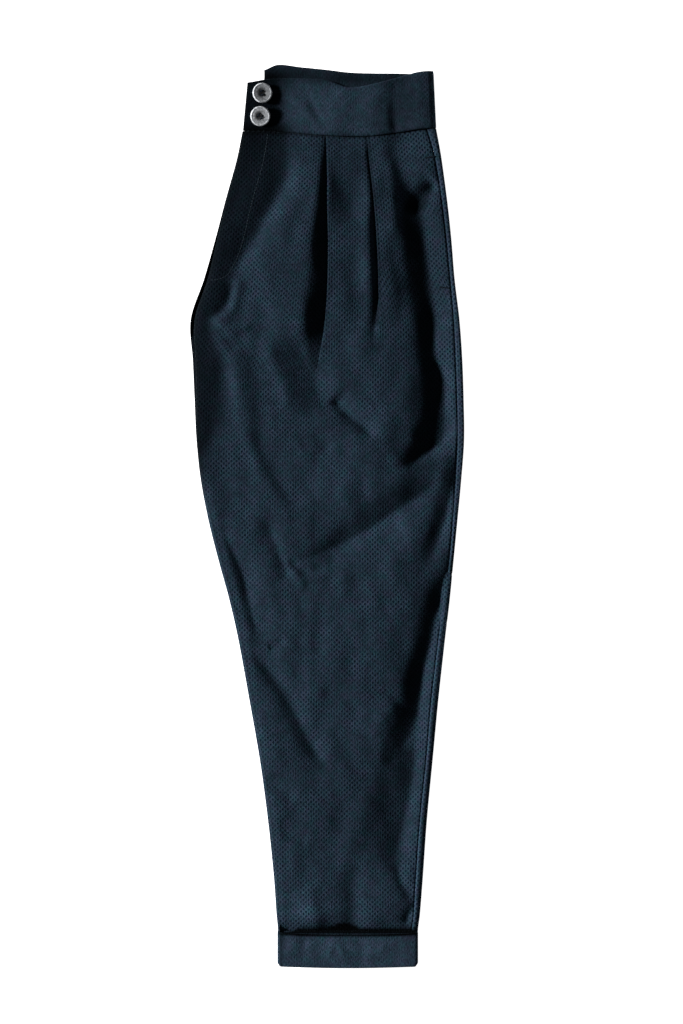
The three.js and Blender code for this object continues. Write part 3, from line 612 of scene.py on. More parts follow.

# Painted shade: places painted dark where shade falls, in the hollows, under the pleats, by the fly, round
# the buttons and in the gap over the cuff. Given are which way they run, how softly they begin and end on
# their low and high side and at their two ends, how dark, and rows of (place, low, high).
paintedHollowShade = [
    ("round the buttons", "x", 3, 3, 22, 0.68, [(-110, 400, 464), (-44, 400, 464)]),
    ("fly", "y", 1, 9, 12, 0.72, [(-10, -150, -134), (60, -160, -130), (100, -160, -110), (160, -160, -108),
     (196, -160, -119), (206, -160, -123), (214, -160, -109), (228, -160, -102), (248, -160, -100),
     (269, -160, -92), (290, -160, -79), (311, -160, -69), (332, -160, -57), (353, -160, -47),
     (374, -160, -40), (412, -160, -38)]),
    ("first pleat", "y", 4, 2, 30, 0.56, [(146, -18, -10), (164, -20, -8), (185, -21, -4), (206, -22, 0),
     (227, -22, 2), (248, -19, 2.6), (269, -16, 3), (290, -14, 3), (332, -11, 2.4), (374, -6, 1.8),
     (404, -1, 1)]),
    ("second pleat", "y", 1.5, 1, 8, 0.65, [(200, 46, 55), (225, 48, 56), (248, 52, 56), (290, 50, 54),
     (332, 47, 51), (374, 42.5, 46), (400, 41, 44)]),
    ("pocket hollow", "y", 5, 3, 8, 0.55, [(50, 71, 78), (59, 74, 92), (66, 78, 106), (74, 83, 119),
     (80, 90, 122), (101, 97, 124), (122, 99, 125), (143, 101, 125), (164, 97, 115), (185, 95, 113),
     (206, 91, 114), (227, 87, 112), (248, 84, 109), (269, 81, 106), (290, 79, 103), (311, 79, 101),
     (332, 84, 101)]),
    ("pocket spur", "y", 4, 3, 8, 0.66, [(320, 80, 103), (332, 83, 107), (340, 88, 110), (349, 96, 111)]),
    ("hip corner", "y", 4, 2, 30, 0.56, [(-46, 96, 110), (-25, 101, 118), (-4, 110, 125), (17, 112, 128),
     (38, 118, 132), (56, 126, 136)]),
    ("thigh slant", "x", 2, 10, 20, 0.5, [(-26, -46, -42), (2, -35, -22), (26, -23, 0), (47, -12, 18),
     (75, 7, 37), (92, 19, 42), (108, 29, 44)]),
    ("shin right", "y", 4, 2, 12, 0.48, [(-262, 56, 66), (-244, 57, 72), (-235, 59, 84), (-224, 65, 93),
     (-214, 73, 95), (-193, 81, 99), (-172, 82, 100), (-151, 84, 105), (-130, 91, 111), (-109, 95, 115),
     (-88, 101, 121), (-74, 109, 124), (-60, 120, 127), (-46, 129, 132)]),
    ("shin foot", "y", 10, 4, 22, 0.38, [(-372, 60, 76), (-340, 46, 80), (-319, 44, 83), (-298, 44, 87),
     (-270, 50, 93), (-240, 62, 94)]),
    ("shin left", "y", 4, 5, 14, 0.4, [(-264, -14, -2), (-248, -24, -12), (-230, -36, -20),
     (-211, -44, -30), (-188, -54, -40), (-172, -64, -50), (-150, -82, -68)]),
    ("over the cuff", "x", 1.2, 1.4, 4, 0.98, [(-52, -439.5, -438), (-36, -440, -436), (-29, -441, -432),
     (2, -441, -431), (11, -441, -427.5), (18, -441, -426), (27, -441, -429), (34, -441, -432),
     (60, -441, -432), (86, -441, -431.5), (95, -440, -436)]),
    ("cuff pinch", "y", 4, 4, 14, 0.3, [(-436, 16, 30), (-400, 18, 30), (-366, 16, 30)]),
]

# Painted highlight and painted shade along the edges and seams: the side and the seam's ridge are painted
# highlight, and past the seam, the left edge, the groove by it and the waist seam are painted shade; the
# cuff is paler. Pairs are the amount and its reach, and threes have its distance from the edge in between.
paintedEdgeLight = {
    "side": (0.22, 14), "cuff": 0.22, "seamRidge": (0.5, 0.6, 1.5), "pastSeam": 0.3,
    "leftEdge": (0.66, 6), "leftGroove": (0.5, 1.6, 1.8), "waistSeam": (0.5, 2.2),
    "limits": (0.02, 2),
}


# the colour factor at each point: the pile's brushed patches, with painted shade and painted highlight
def pileAndPaintedLightAt(x, y):
    e = paintedEdgeLight
    nap = np.ones(np.shape(x))
    for cx, cy, wide, tall, amount in brushedAndPaintedLightMarks:
        nap += amount * bell(x, cx, wide) * bell(y, cy, tall)
    # painted highlight along the right edge, below the hip
    amount, reach = e["side"]
    belowHip = (1 - smooth(y, 200, 320)) * smooth(y, -436, -400)
    nap += amount * bell(x, leg("right", y), reach) * belowHip
    nap += e["cuff"] * (1 - smooth(y, -444, -440))
    # painted highlight on the side seam's ridge, and painted shade past it
    amount, middle, reach = e["seamRidge"]
    pastSeam = x - leg("seam", y)
    ridge = amount * bell(pastSeam, middle, reach) - e["pastSeam"] * smooth(pastSeam, 1.6, 3)
    nap += ridge * smooth(y, -436, -420) * seamRidge(y)
    # painted shade in the hollows, under the pleats, by the fly, round the buttons and over the cuff
    for _, run, softLow, softHigh, softEnd, amount, rows in paintedHollowShade:
        along, across = (y, x) if run == "y" else (x, y)
        places, lows, highs = np.array(rows, float).T
        low, high = np.interp(along, places, lows), np.interp(along, places, highs)
        pressed = smooth(across, low - softLow, low + softLow)
        pressed = pressed * (1 - smooth(across, high - softHigh, high + softHigh))
        ends = smooth(along, places[0] - softEnd / 2, places[0] + softEnd / 2)
        ends = ends * (1 - smooth(along, places[-1] - softEnd / 2, places[-1] + softEnd / 2))
        nap *= 1 - amount * pressed * ends
    # painted shade over the left edge's turned roll above the thigh, and in the groove by it below
    edge = x - leg("left", y)
    aboveThigh = smooth(y, 0, 60)
    amount, reach = e["leftEdge"]
    nap *= 1 - amount * bell(edge, 0, reach) * aboveThigh
    amount, middle, reach = e["leftGroove"]
    nap *= 1 - amount * bell(edge, middle, reach) * (1 - aboveThigh)
    # painted shade along the waist seam
    amount, reach = e["waistSeam"]
    nap *= 1 - amount * bell(y, band("seam", x), reach)
    return np.clip(nap, *e["limits"])


def makeMesh(name, points, faces, clothMap, material):
    mesh = bpy.data.meshes.new(name)
    flat = points.reshape(-1, 3)
    mesh.from_pydata((flat * mm).tolist(), [], [list(map(int, face)) for face in faces])
    corners = np.empty(len(mesh.loops), np.int32)
    mesh.loops.foreach_get("vertex_index", corners)
    layer = mesh.uv_layers.new(name="cloth")
    layer.data.foreach_set("uv", (clothMap.reshape(-1, 2)[corners] * mm).ravel())
    # each point keeps its colour factor, painted shade and painted highlight included
    nap = mesh.attributes.new("nap", "FLOAT", "POINT")
    nap.data.foreach_set("value", pileAndPaintedLightAt(flat[:, 0], flat[:, 1]).astype(np.float32))
    mesh.materials.append(material)
    mesh.polygons.foreach_set("use_smooth", [True] * len(mesh.polygons))
    piece = bpy.data.objects.new(name, mesh)
    bpy.context.scene.collection.objects.link(piece)
    return piece


# A sheet from a grid of points, whose rows run from the waist down and across to the side.
def makeSheet(name, points, clothMap, material, faceUp):
    rows, columns = points.shape[:2]
    ids = np.arange(rows * columns).reshape(rows, columns)
    faces = np.stack([ids[:-1, :-1], ids[1:, :-1], ids[1:, 1:], ids[:-1, 1:]], -1).reshape(-1, 4)
    piece = makeMesh(name, points, faces if faceUp else faces[:, ::-1], clothMap, material)
    wall = piece.modifiers.new("wall", "SOLIDIFY")
    wall.thickness = cloth * mm
    wall.offset = 0
    return piece


def lengthAlong(line):
    return np.concatenate([[0], np.cumsum(np.hypot(*np.diff(line, axis=0).T))])


def quarterRoll(edge, flat, steps, square=1):  # from a folded edge to where the cloth lies flat
    angle = np.linspace(0, math.pi / 2, steps + 1)
    x = flat[0] + (edge[0] - flat[0]) * np.cos(angle) ** square
    z = edge[1] + (flat[1] - edge[1]) * np.sin(angle) ** square
    return np.stack([x, z], -1)


# The two pleats

pleats = {
    # height, fold edge, how far the cloth goes back under it, how deep the cloth beside it sinks,
    # how wide that hollow is, and how far the flap stands up
    "first": [
        (404, 0.5, 15, 0.8, 4, 2.2),
        (378, 1.2, 14, 2.6, 8, 2.2),
        (352, 1.8, 12, 3.6, 12, 2),
        (325, 1.8, 10, 4.2, 16, 1.8),
        (290, 2.6, 8, 4.6, 19, 1.4),
        (258, 2.4, 6, 4.8, 21, 1),
        (236, 1.6, 5, 4.8, 22, 0.7),
        (219, 0.6, 4, 4.4, 22, 0.5),
        (190, -2.5, 2.6, 3.4, 20, 0.3),
        (172, -6, 1.4, 2.2, 17, 0.1),
        (158, -9, 0.4, 1, 15, 0),
        (146, -11, -4, 0, 15, 0),
        (-450, -13, -6, 0, 15, 0),
    ],
    "second": [
        (404, 43.5, 14, 0.8, 3, 2.2),
        (378, 45.5, 12, 3.2, 5, 2.2),
        (325, 51, 8, 4.6, 8, 2.2),
        (290, 53.5, 6, 5.4, 9, 2.2),
        (258, 55, 4, 5.6, 10, 2.0),
        (236, 55.5, 0, 5.0, 11, 1.6),
        (215, 56, -4, 3.4, 11, 0.8),
        (190, 56, -8, 1.0, 11, 0.2),
        (170, 56, -10, 0, 11, 0),
        (-450, 42, -10, 0, 11, 0),
    ],
    "radius": 0.9,
    "settles": 42,  # how far from its edge the flap comes down again
    "pressed": 0.16,  # share of a hollow's depth that is left in the lower front
    "turnSteps": 5,
}


def readPleat(name, y):
    return [float(readTable(pleats[name], column, y)) for column in range(1, 6)]


# The S of a pleat, from where the cloth turns back under the flap to the flap's folded edge: a
# turn to the left, a straight stretch and a turn to the right.
def pleatTurn(low, high, steps):
    radius = min(pleats["radius"], math.hypot(*(high - low)) / 4.4)
    between = high - low - np.array([0, 2 * radius])
    apart = math.hypot(*between)
    lean = math.asin(min(2 * radius / apart, 1))
    angle = max(math.atan2(between[1], between[0]) + lean, 0)
    turn = np.linspace(0, angle, steps + 1)
    first = low + np.stack([radius * np.sin(turn), radius * (1 - np.cos(turn))], -1)
    last = high + np.stack([-radius * np.sin(turn[::-1]), -radius * (1 - np.cos(turn[::-1]))], -1)
    straight = [first[-1] + (last[0] - first[-1]) * share for share in (0.25, 0.5, 0.75)]
    return np.array([*first, *straight, *last])


frontPanel = {
    # columns are those before, between and after the pleats
    "upper": {"rows": 300, "columns": (44, 20, 30)},
    "lower": {"rows": 190, "columns": (26, 14, 20)},
    "cut": (0.36, 0.86),  # the panel before it was pleated and seamed
    "seamDip": (0.12, 0.45, 1.0),  # how the last threads turn down into the side seam
    # how the first rows turn down into the waist seam, and the height at which they do it in full
    "waistDip": (1.0, 0.45, 0.12), "fullDip": 99,
}


# One front across the garment. side is 1 for the upper leg, whose outer side looks up, and -1
# for the lower leg, which lies the other way up with its pleats inside.
def frontLine(y, side, counts):
    if side > 0:
        left, share, base = leg("left", y), leg("edge", y), topHeight
    else:
        left, share, base = leg("low", y), leg("lowEdge", y), lowHeight
    left = float(left) + cloth / 2
    flatStart = left + legs["roll"]
    rise = {}
    spots = {}
    for name in ("first", "second"):
        edge, reach, sink, wide, stand = readPleat(name, y)
        spots[name] = (edge, edge + reach)
        rise[name] = (sink, wide, stand) if side > 0 else (pleats["pressed"] * sink, wide, 0)

    def height(x, past):
        z = base(x, y)
        for i, name in enumerate(("first", "second")):
            edge, start = spots[name]
            sink, wide, stand = rise[name]
            bottom = min(edge, start)
            t = np.clip((x - bottom + wide) / wide, 0, 1)
            ramp = t * t * (1.7 - 0.7 * t)
            if past > i:
                z = z + side * stand * (1 - smooth(x, edge, edge + pleats["settles"]))
            else:
                z = z - side * sink * ramp
                if side < 0:  # the cloth beside the pleat is held up by its layers
                    z = z + 2 * cloth * smooth(x, bottom - wide, bottom)
        return z

    edgeHeight = float(share * leg("loft", y)) - (0 if side > 0 else gap)
    flatHeight = float(height(flatStart, 0))
    line = [quarterRoll((left, edgeHeight), (flatStart, flatHeight), legs["rollSteps"])]
    fromX = flatStart
    for i, name in enumerate(("first", "second")):
        edge, start = spots[name]
        x = np.linspace(fromX, start, counts[i] + 1)[1:]
        line.append(np.stack([x, height(x, i)], -1))
        low = line[-1][-1]
        high = np.array([edge, float(height(edge, i + 1))])
        if side > 0:
            turn = pleatTurn(low, high, pleats["turnSteps"])
        else:
            turn = pleatTurn(low * (1, -1), high * (1, -1), pleats["turnSteps"]) * (1, -1)
        opened = smooth(edge - start, 0, 5)  # 1 where the pleat is only a hollow
        x = np.linspace(start, edge, len(turn))
        blend = smooth(x, min(start, edge - 0.1), edge)
        slope = height(x, i) * (1 - blend) + height(x, i + 1) * blend
        turn = turn * (1 - opened) + np.stack([x, slope], -1) * opened
        line.append(turn[1:])
        if i == 0:
            flap = sum(map(len, line)) + counts[1] // 2
        fromX = edge
    x = np.linspace(fromX, float(leg("seam", y)) - gap / 2, counts[2] + 1)[1:]
    last = np.stack([x, height(x, 2)], -1)
    last[-3:, 1] -= side * np.array(frontPanel["seamDip"]) * seamDepth(y)
    line.append(last)
    line = np.concatenate(line)
    along = lengthAlong(line)  # pinned in the middle of the flap between the pleats
    return line, along - along[flap] + line[flap, 0]


def makeFront(name, side, spec):
    points, clothMap = [], []
    for row, y in enumerate(np.linspace(legs["waist"], legs["hem"], spec["rows"])):
        line, along = frontLine(y, side, spec["columns"])
        z = line[:, 1]
        if row < len(frontPanel["waistDip"]):
            share = smooth(side * z, -frontPanel["fullDip"], frontPanel["fullDip"])
            z = z - side * frontPanel["waistDip"][row] * share
        points.append(np.stack([line[:, 0], followSeam(line[:, 0], y), z], -1))
        clothMap.append(np.stack([along, np.full(len(along), y)], -1))
    piece = makeSheet(name, np.array(points), np.array(clothMap), navyCloth, side > 0)
    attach(piece, "root")
    return piece


frontLeft = makeFront("frontLeft", 1, frontPanel["upper"])
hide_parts("front_left")
frontRight = makeFront("frontRight", -1, frontPanel["lower"])
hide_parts("front_right")
print("Fronts made")


# The two backs, each wrapped round the side from its seam and lying on the other in the middle

backs = {
    "rows": 170, "cut": (0.36, 0.86),
    "lip": 0.35,  # from the middle of the garment to each back
    "bulge": 5,  # how far in from the fold the cloth turns
    "tuck": 3,  # how far the backs end short of the fly
    "ridge": 0.5,  # how high the side seam stands down the leg
    "square": 0.42,  # below 1 the side's turn is squarer than a circle
    "widest": 0.24,  # how far up its turn the side is widest
    "clear": 0.4,  # under the top front's pleats
    "inside": 0.8,  # how far the lower back's fold lies inside the upper back's
    "closes": 36,  # how far below the crotch the inseam is whole
    "untuck": (378, 398, 0.95),  # where the tuck ends near the waist, and how much of it
}


def backLine(y, side):
    loft, seam, right = (float(leg(name, y)) for name in ("loft", "seam", "right"))
    middle = loft / 2
    joined = float(smooth(legs["crotch"] - y, 0, backs["closes"]))  # 1 where there is an inseam
    if side > 0:
        left = float(leg("left", y))
        outer = float(topHeight(seam, y))
        inseam = float(leg("edge", y)) * loft - cloth / 2 - gap
    else:
        left = float(leg("low", y))
        right -= backs["inside"]
        outer = cloth / 2
        inseam = float(leg("lowEdge", y)) * loft + cloth / 2
    inner = middle + side * (backs["lip"] + cloth / 2)
    top = frontLine(y, 1, frontPanel["upper"]["columns"])[0]
    start = seam + gap / 2
    half = cloth / 2
    widest = middle + (outer - middle) * backs["widest"]
    over = quarterRoll((right - half, widest), (start, outer), 12, backs["square"])[::-1]
    over[:3, 1] -= side * np.array(frontPanel["seamDip"])[::-1] * seamDepth(y)
    if side > 0:
        over[:3, 1] += backs["ridge"] * seamRidge(y)
    under = quarterRoll((right - half, widest), (right - half - backs["bulge"], inner), 6)[1:]
    low, high, untucked = backs["untuck"]
    tuck = (1 - joined) * (cloth + backs["tuck"]) * (1 - untucked * float(smooth(y, low, high)))
    leftEdge = left + half + tuck
    nose = inner + (inseam - inner) * max(joined, 0.04)
    x = np.linspace(under[-1][0], leftEdge + backs["bulge"], 34)[1:-1]
    roof = np.array([top[np.abs(top[:, 0] - spot) < 4, 1].min() for spot in x])
    roof -= (cloth + backs["clear"]) * (1 if side > 0 else 2)
    across = np.stack([x, np.minimum(inner, roof)], -1)
    lobe = quarterRoll((leftEdge, nose), (leftEdge + backs["bulge"], inner), 6)[::-1]
    return np.concatenate([over, under, across, lobe])


def makeBack(name, side):
    heights = np.linspace(legs["waist"], legs["hem"], backs["rows"])
    lines = [backLine(y, side) for y in heights]
    points = [np.stack([line[:, 0], followSeam(line[:, 0], y), line[:, 1]], -1)
              for line, y in zip(lines, heights)]
    clothMap = [np.stack([lengthAlong(line), np.full(len(line), y)], -1)
                for line, y in zip(lines, heights)]
    piece = makeSheet(name, np.array(points), np.array(clothMap), navyCloth, side < 0)
    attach(piece, "root")
    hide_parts("backs_folded")
    return piece


backLeft = makeBack("backLeft", 1)
backRight = makeBack("backRight", -1)
print("Backs made")


# Flat tubes of several layers: the waistband and the cuffs

# A slab along a line of stations (x, z of its outer face), with a profile of (y, depth under the
# outer face), closed at both ends.
def makeSlab(name, stations, profile, lift, outerUp, material):
    line = np.array(stations, float)
    along = lengthAlong(line)
    tangent = np.gradient(line, axis=0)
    tangent /= np.hypot(*tangent.T)[:, None]
    inward = np.stack([tangent[:, 1], -tangent[:, 0]], -1) * (1 if outerUp else -1)
    rings, clothMap = [], []
    for i, ((x, z), (nx, nz)) in enumerate(zip(line, inward)):
        end = min(i, len(line) - 1 - i)
        squeeze = (0.35, 0.8)[end] if end < 2 else 1  # the ends are pressed thinner
        ring, marks = [], []
        total = max(depth for _, depth in profile(x))
        for y, depth in profile(x):
            deep = total / 2 + (depth - total / 2) * squeeze
            face = 1 - depth / total
            rise = lift(x, y) * face * (1 if outerUp else -1)
            ring.append((x + nx * deep, y, z + nz * deep + rise))
            marks.append((along[i], y + depth))
        rings.append(ring)
        clothMap.append(marks)
    points = np.array(rings)
    rows, columns = points.shape[:2]
    ids = np.arange(rows * columns).reshape(rows, columns)
    after = np.roll(ids, -1, axis=1)
    faces = np.stack([ids[:-1], after[:-1], after[1:], ids[1:]], -1).reshape(-1, 4)
    faces = [*faces.tolist(), ids[0][::-1].tolist(), ids[-1].tolist()]
    if not outerUp:
        faces = [face[::-1] for face in faces]
    piece = makeMesh(name, points, faces, np.array(clothMap), material)
    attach(piece, "root")
    return piece


def roundedProfile(bottom, top, thickness, faceSteps, backSteps):
    radius = min(thickness / 2, 1.5)
    turn = np.linspace(0, math.pi, 7)[1:-1]
    face = np.linspace(bottom + radius, top - radius, faceSteps)
    back = np.linspace(top - radius, bottom + radius, backSteps)
    half = thickness / 2
    profile = [(y, 0) for y in face]
    profile += [(top - radius + radius * math.sin(a), half - half * math.cos(a)) for a in turn]
    profile += [(y, thickness) for y in back]
    profile += [(bottom + radius - radius * math.sin(a), half + half * math.cos(a)) for a in turn]
    return profile


waistband = {
    "cloth": 3, "left": -86.3, "right": 114.9, "height": 55, "roll": 9, "middle": 7.6,
    "lifted": 9.2,  # how far the lower one stands off the floor, but for its left end
    "stations": 96, "faceSteps": 22, "backSteps": 10, "cut": (0.205, 0.058),
    # how far each end moves at its bottom and at its top, and where that starts and is full
    "leans": [(-2.0, 3.1, (-60, -86)), (0.4, -2.2, (90, 113))],
    "pucker": (0.25, 7.3, 9),  # height, length and how far it reaches from the seam
    "dents": [
        (70, 422, 5, 16, 0, -1.6), (72, 408, 4, 7, 0, -1.2), (72, 450, 5, 5, 0, -1.1),
        (82, 450, 5, 6, 0.3, -1.0), (92, 446, 5, 5, 0, -0.8), (-28, 432, 8, 22, -0.9, 1.1),
        (-12, 424, 4, 20, -0.5, -0.8), (10, 420, 9, 26, 0.2, 0.6), (30, 425, 7, 22, 0, -0.5),
        (50, 438, 9, 12, 0.3, 0.8), (-50, 430, 9, 34, 0, -1.1), (100, 430, 8, 30, 0, 0.7),
        (20, 400, 20, 3, 0, -0.5), (44, 404, 10, 3, 0, 0.5),
    ],
}


def bandLift(x, y):  # puckers along the seam, and dents
    height, length, reach = waistband["pucker"]
    pucker = height * math.sin(x / length) * bell(y, float(band("seam", x)), reach)
    return float(pucker) + dentLift(waistband["dents"], x, y)


def leanX(piece, low, high, side):  # slants a band's end
    for vertex in piece.data.vertices:
        x, y = vertex.co.x / mm, vertex.co.y / mm
        share = smooth(x, *side)
        up = (y - legs["waist"]) / waistband["height"]
        vertex.co.x += float(share * (low + (high - low) * up)) * mm


def makeBandFront(name, outerUp):
    w = waistband
    flatX = np.linspace(w["left"], w["right"] - w["roll"], w["stations"])
    if outerUp:
        flat = [(x, float(band("face", x))) for x in flatX]
        endZ = w["middle"] + gap + w["cloth"] / 2
    else:
        down = smooth(flatX, w["left"], w["left"] + 2 * w["roll"])
        flat = [*zip(flatX, w["lifted"] * (1 - down))]
        endZ = w["middle"] - w["cloth"] / 2
    turn = quarterRoll((w["right"], endZ), flat[-1], 9)[::-1][1:]

    def profile(x):
        bottom, top = float(band("seam", x)) + 0.5, float(band("top", x))
        return roundedProfile(bottom, top, w["cloth"], w["faceSteps"], w["backSteps"])

    lift = bandLift if outerUp else noLift
    piece = makeSlab(name, [*flat, *map(tuple, turn)], profile, lift, outerUp, bandCloth)
    for lean in w["leans"]:
        leanX(piece, *lean)
    return piece


bandFrontLeft = makeBandFront("bandFrontLeft", True)
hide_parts("waistband_front_left")
bandFrontRight = makeBandFront("bandFrontRight", False)
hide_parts("waistband_front_right")

bandBack = {
    "left": -66, "right": 102, "low": 3.3, "cloth": 3.9, "stations": 70, "cut": (0.17, 0.068),
    "shorter": 0.8,  # how far the lower layer ends below the upper one's top
    "sag": 0.3, "wave": (0.25, 11), "ripple": (0.3, 6, 23),  # heights and lengths
}


def makeBandBack(name, upper):
    b = bandBack
    stations = []
    for x in np.linspace(b["left"], b["right"], b["stations"]):
        roof = float(band("face", x)) - waistband["cloth"] - gap
        middle = (roof + b["low"]) / 2
        stations.append((x, roof if upper else middle - 0.2))

    def profile(x):
        bottom, top = float(band("seam", x)) + gap, float(band("backTop", x))
        return roundedProfile(bottom, top if upper else top - b["shorter"], b["cloth"], 20, 8)

    def lift(x, y):
        (high, long), (rippleHigh, tall, wide) = b["wave"], b["ripple"]
        wave = high * math.sin(x / long + (1 if upper else 3))
        return wave + rippleHigh * math.sin(y / tall + x / wide) - b["sag"]

    # the back band takes the darker copy of the cloth, painted shade
    piece = makeSlab(name, stations, profile, lift, True, shadedBandBackCloth)
    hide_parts("waistband_back")
    return piece


makeBandBack("bandBackUpper", True)
makeBandBack("bandBackLower", False)
print("Waistband made")

cuffs = {
    "left": -52.5, "right": 96, "top": -436, "fold": -473, "flap": 10.3, "roll": 5,
    "cloth": 3.2, "lip": 1.4, "cut": (0.16, 0.04),
    "middle": 22, "width": 148,  # of the two curves along the fold and along the top
    "droop": 1.6, "arch": 3.2, "corner": 3.4,
    # node, outer face, whether that face looks up, how far its sides turn in, and whether it is
    # open over the leg
    "layers": [
        ("cuff_right_front", 0, False, 2.0, False),
        ("cuff_right_back", 7, True, 2.0, False),
        ("cuff_left_back", 7.4, False, 2.0, False),
        ("cuff_left_front", 15.6, True, 3.2, True),
    ],
    "dents": [
        (-36, -452, 7, 12, 0.3, 0.7), (-24, -450, 4, 14, 0.1, -0.6), (4, -455, 4, 9, 0.35, 0.9),
        (15, -455, 4, 9, -0.35, 0.8), (36, -453, 5, 14, 0, -0.6), (58, -452, 6, 12, 0.2, 0.6),
        (74, -455, 4, 12, 0, -0.5), (-44, -442, 5, 5, 0, -0.5), (20, -438, 9, 4, 0, -0.7),
    ],
}


def cuffLift(x, y):
    return dentLift(cuffs["dents"], x, y)


def makeCuff(node, outer, faceUp, sag, overLeg):
    c = cuffs
    side = 1 if faceUp else -1
    edge = outer - side * sag
    left = quarterRoll((c["left"], edge), (c["left"] + c["roll"], outer), 7)
    right = quarterRoll((c["right"], edge), (c["right"] - c["roll"], outer), 7)[::-1]
    flat = [(x, outer) for x in np.linspace(left[-1][0], right[0][0], 66)[1:-1]]
    stations = [*map(tuple, left), *flat, *map(tuple, right)]

    def profile(x):
        around = math.cos((x - c["middle"]) / c["width"] * math.pi)
        fromEnd = min(x - c["left"], c["right"] - x)
        corner = c["corner"] * (1 - float(smooth(fromEnd, -0.5, 3.5)))
        low = c["fold"] - c["droop"] * around + corner
        high = c["top"] - (c["arch"] * max(around, 0) ** 0.4 if overLeg else 0)
        ring = roundedProfile(low, high, c["cloth"], 16, 8)
        if overLeg:  # only the outer layer reaches over the leg
            inner = c["top"] - c["flap"]
            ring = [(y, c["lip"] * depth / c["cloth"] if y > inner else depth) for y, depth in ring]
        return ring

    name = "cuff" + "".join(part.capitalize() for part in node.split("_")[1:])
    lift = cuffLift if overLeg else noLift
    piece = makeSlab(name, stations, profile, lift, faceUp, bandCloth)
    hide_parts(node)
    return piece


for layer in cuffs["layers"]:
    makeCuff(*layer)
print("Cuffs made")


# Buttons

buttons = {
    "radius": 10.5, "height": 3.8, "sides": 64, "hole": 0.95, "holeSpread": 2.1,
    # share of the radius and of the height, from the underside's middle round to the face
    "profile": [
        (0.72, 0), (0.88, 0.12), (0.96, 0.3), (1, 0.55), (0.985, 0.8), (0.95, 0.94), (0.9, 1),
        (0.84, 0.99), (0.79, 0.95), (0.755, 0.94), (0.7, 0.95), (0.6, 0.935), (0.5, 0.9),
        (0.42, 0.85), (0.34, 0.77), (0.27, 0.7), (0.22, 0.67),
    ],
    # node, x, y, and in degrees the way its tilt's axis points, its tilt and its holes' turn
    "places": [("button_upper", -68.2, 443.4, 82, 13, 12), ("button_lower", -70.1, 419.3, 40, 10, 50)],
    "thread": 0.42, "threadSquash": (1, 1.7, 0.75), "threadUp": 0.52,  # share of its height
    "shank": 1.9, "shankTall": 2.6, "shankSunk": 0.6,
}


def clearSelection():
    if bpy.context.object and bpy.context.object.mode == "EDIT":
        bpy.ops.object.mode_set(mode="OBJECT")
    bpy.ops.object.select_all(action="DESELECT")


def makeButtonForm():
    b = buttons
    clearSelection()
    first = b["profile"][0][0] * b["radius"] * mm
    bpy.ops.mesh.primitive_circle_add(vertices=b["sides"], radius=first, fill_type="NGON")
    form = bpy.context.object
    form.name = "buttonForm"
    bpy.ops.object.mode_set(mode="EDIT")
    bpy.ops.mesh.select_all(action="SELECT")
    for (wide, low), (nextWide, high) in zip(b["profile"], b["profile"][1:]):
        rise = (high - low) * b["height"] * mm
        bpy.ops.mesh.extrude_region_move(TRANSFORM_OT_translate={"value": (0, 0, rise)})
        scale = nextWide / wide
        bpy.ops.transform.resize(value=(scale, scale, 1))
    bpy.ops.mesh.select_all(action="SELECT")
    bpy.ops.mesh.normals_make_consistent(inside=False)
    bpy.ops.object.mode_set(mode="OBJECT")
    for x in (-1, 1):
        for y in (-1, 1):
            clearSelection()
            bpy.ops.mesh.primitive_cylinder_add(
                vertices=16, radius=b["hole"] * mm, depth=12 * mm,
                location=(x * b["holeSpread"] * mm, y * b["holeSpread"] * mm, 0))
            drill = bpy.context.object
            clearSelection()
            form.select_set(True)
            bpy.context.view_layer.objects.active = form
            cut = form.modifiers.new("hole", "BOOLEAN")
            cut.object = drill
            cut.solver = "EXACT"
            bpy.ops.object.modifier_apply(modifier="hole")
            bpy.data.objects.remove(drill)
    return form


def placeOnBand(x, y, axis, tilt, turn):
    axis, tilt, turn = (math.radians(angle) for angle in (axis, tilt, turn))
    raised = math.sin(tilt) * buttons["radius"] * 0.5
    spot = Matrix.Translation(Vector((x, y, float(band("face", x)) + gap + raised)) * mm)
    lean = Matrix.Rotation(tilt, 4, (math.cos(axis), math.sin(axis), 0))
    return spot @ lean @ Matrix.Rotation(turn, 4, "Z")


def markUv(piece, name):
    layer = piece.data.uv_layers.new(name=name)
    for loop in piece.data.loops:
        co = piece.data.vertices[loop.vertex_index].co
        layer.data[loop.index].uv = (co.x, co.y)


def makeThreadBar(name, shift, place):
    clearSelection()
    spread = buttons["holeSpread"] * mm
    bpy.ops.mesh.primitive_torus_add(major_segments=24, minor_segments=8, major_radius=spread,
                                     minor_radius=buttons["thread"] * mm, location=(0, 0, 0))
    bar = bpy.context.object
    bar.name = name
    bpy.ops.object.mode_set(mode="EDIT")
    bpy.ops.mesh.select_all(action="SELECT")
    bpy.ops.transform.rotate(value=math.pi / 2, orient_axis="X", center_override=(0, 0, 0))
    bpy.ops.transform.resize(value=buttons["threadSquash"], center_override=(0, 0, 0))
    bpy.ops.object.mode_set(mode="OBJECT")
    lift = buttons["height"] * buttons["threadUp"] * mm
    bar.data.transform(place @ Matrix.Translation((0, shift * mm, lift)))
    return bar


def makeShank(name, place):
    clearSelection()
    bpy.ops.mesh.primitive_cylinder_add(vertices=20, radius=buttons["shank"] * mm,
                                        depth=buttons["shankTall"] * mm)
    shank = bpy.context.object
    shank.name = name
    bpy.ops.object.mode_set(mode="EDIT")
    bpy.ops.mesh.select_all(action="DESELECT")
    bpy.ops.mesh.select_mode(type="FACE")
    bpy.ops.mesh.select_all(action="SELECT")
    bpy.ops.mesh.bevel(offset=0.3 * mm, segments=2)
    bpy.ops.object.mode_set(mode="OBJECT")
    shank.data.transform(place @ Matrix.Translation((0, 0, -buttons["shankSunk"] * mm)))
    return shank


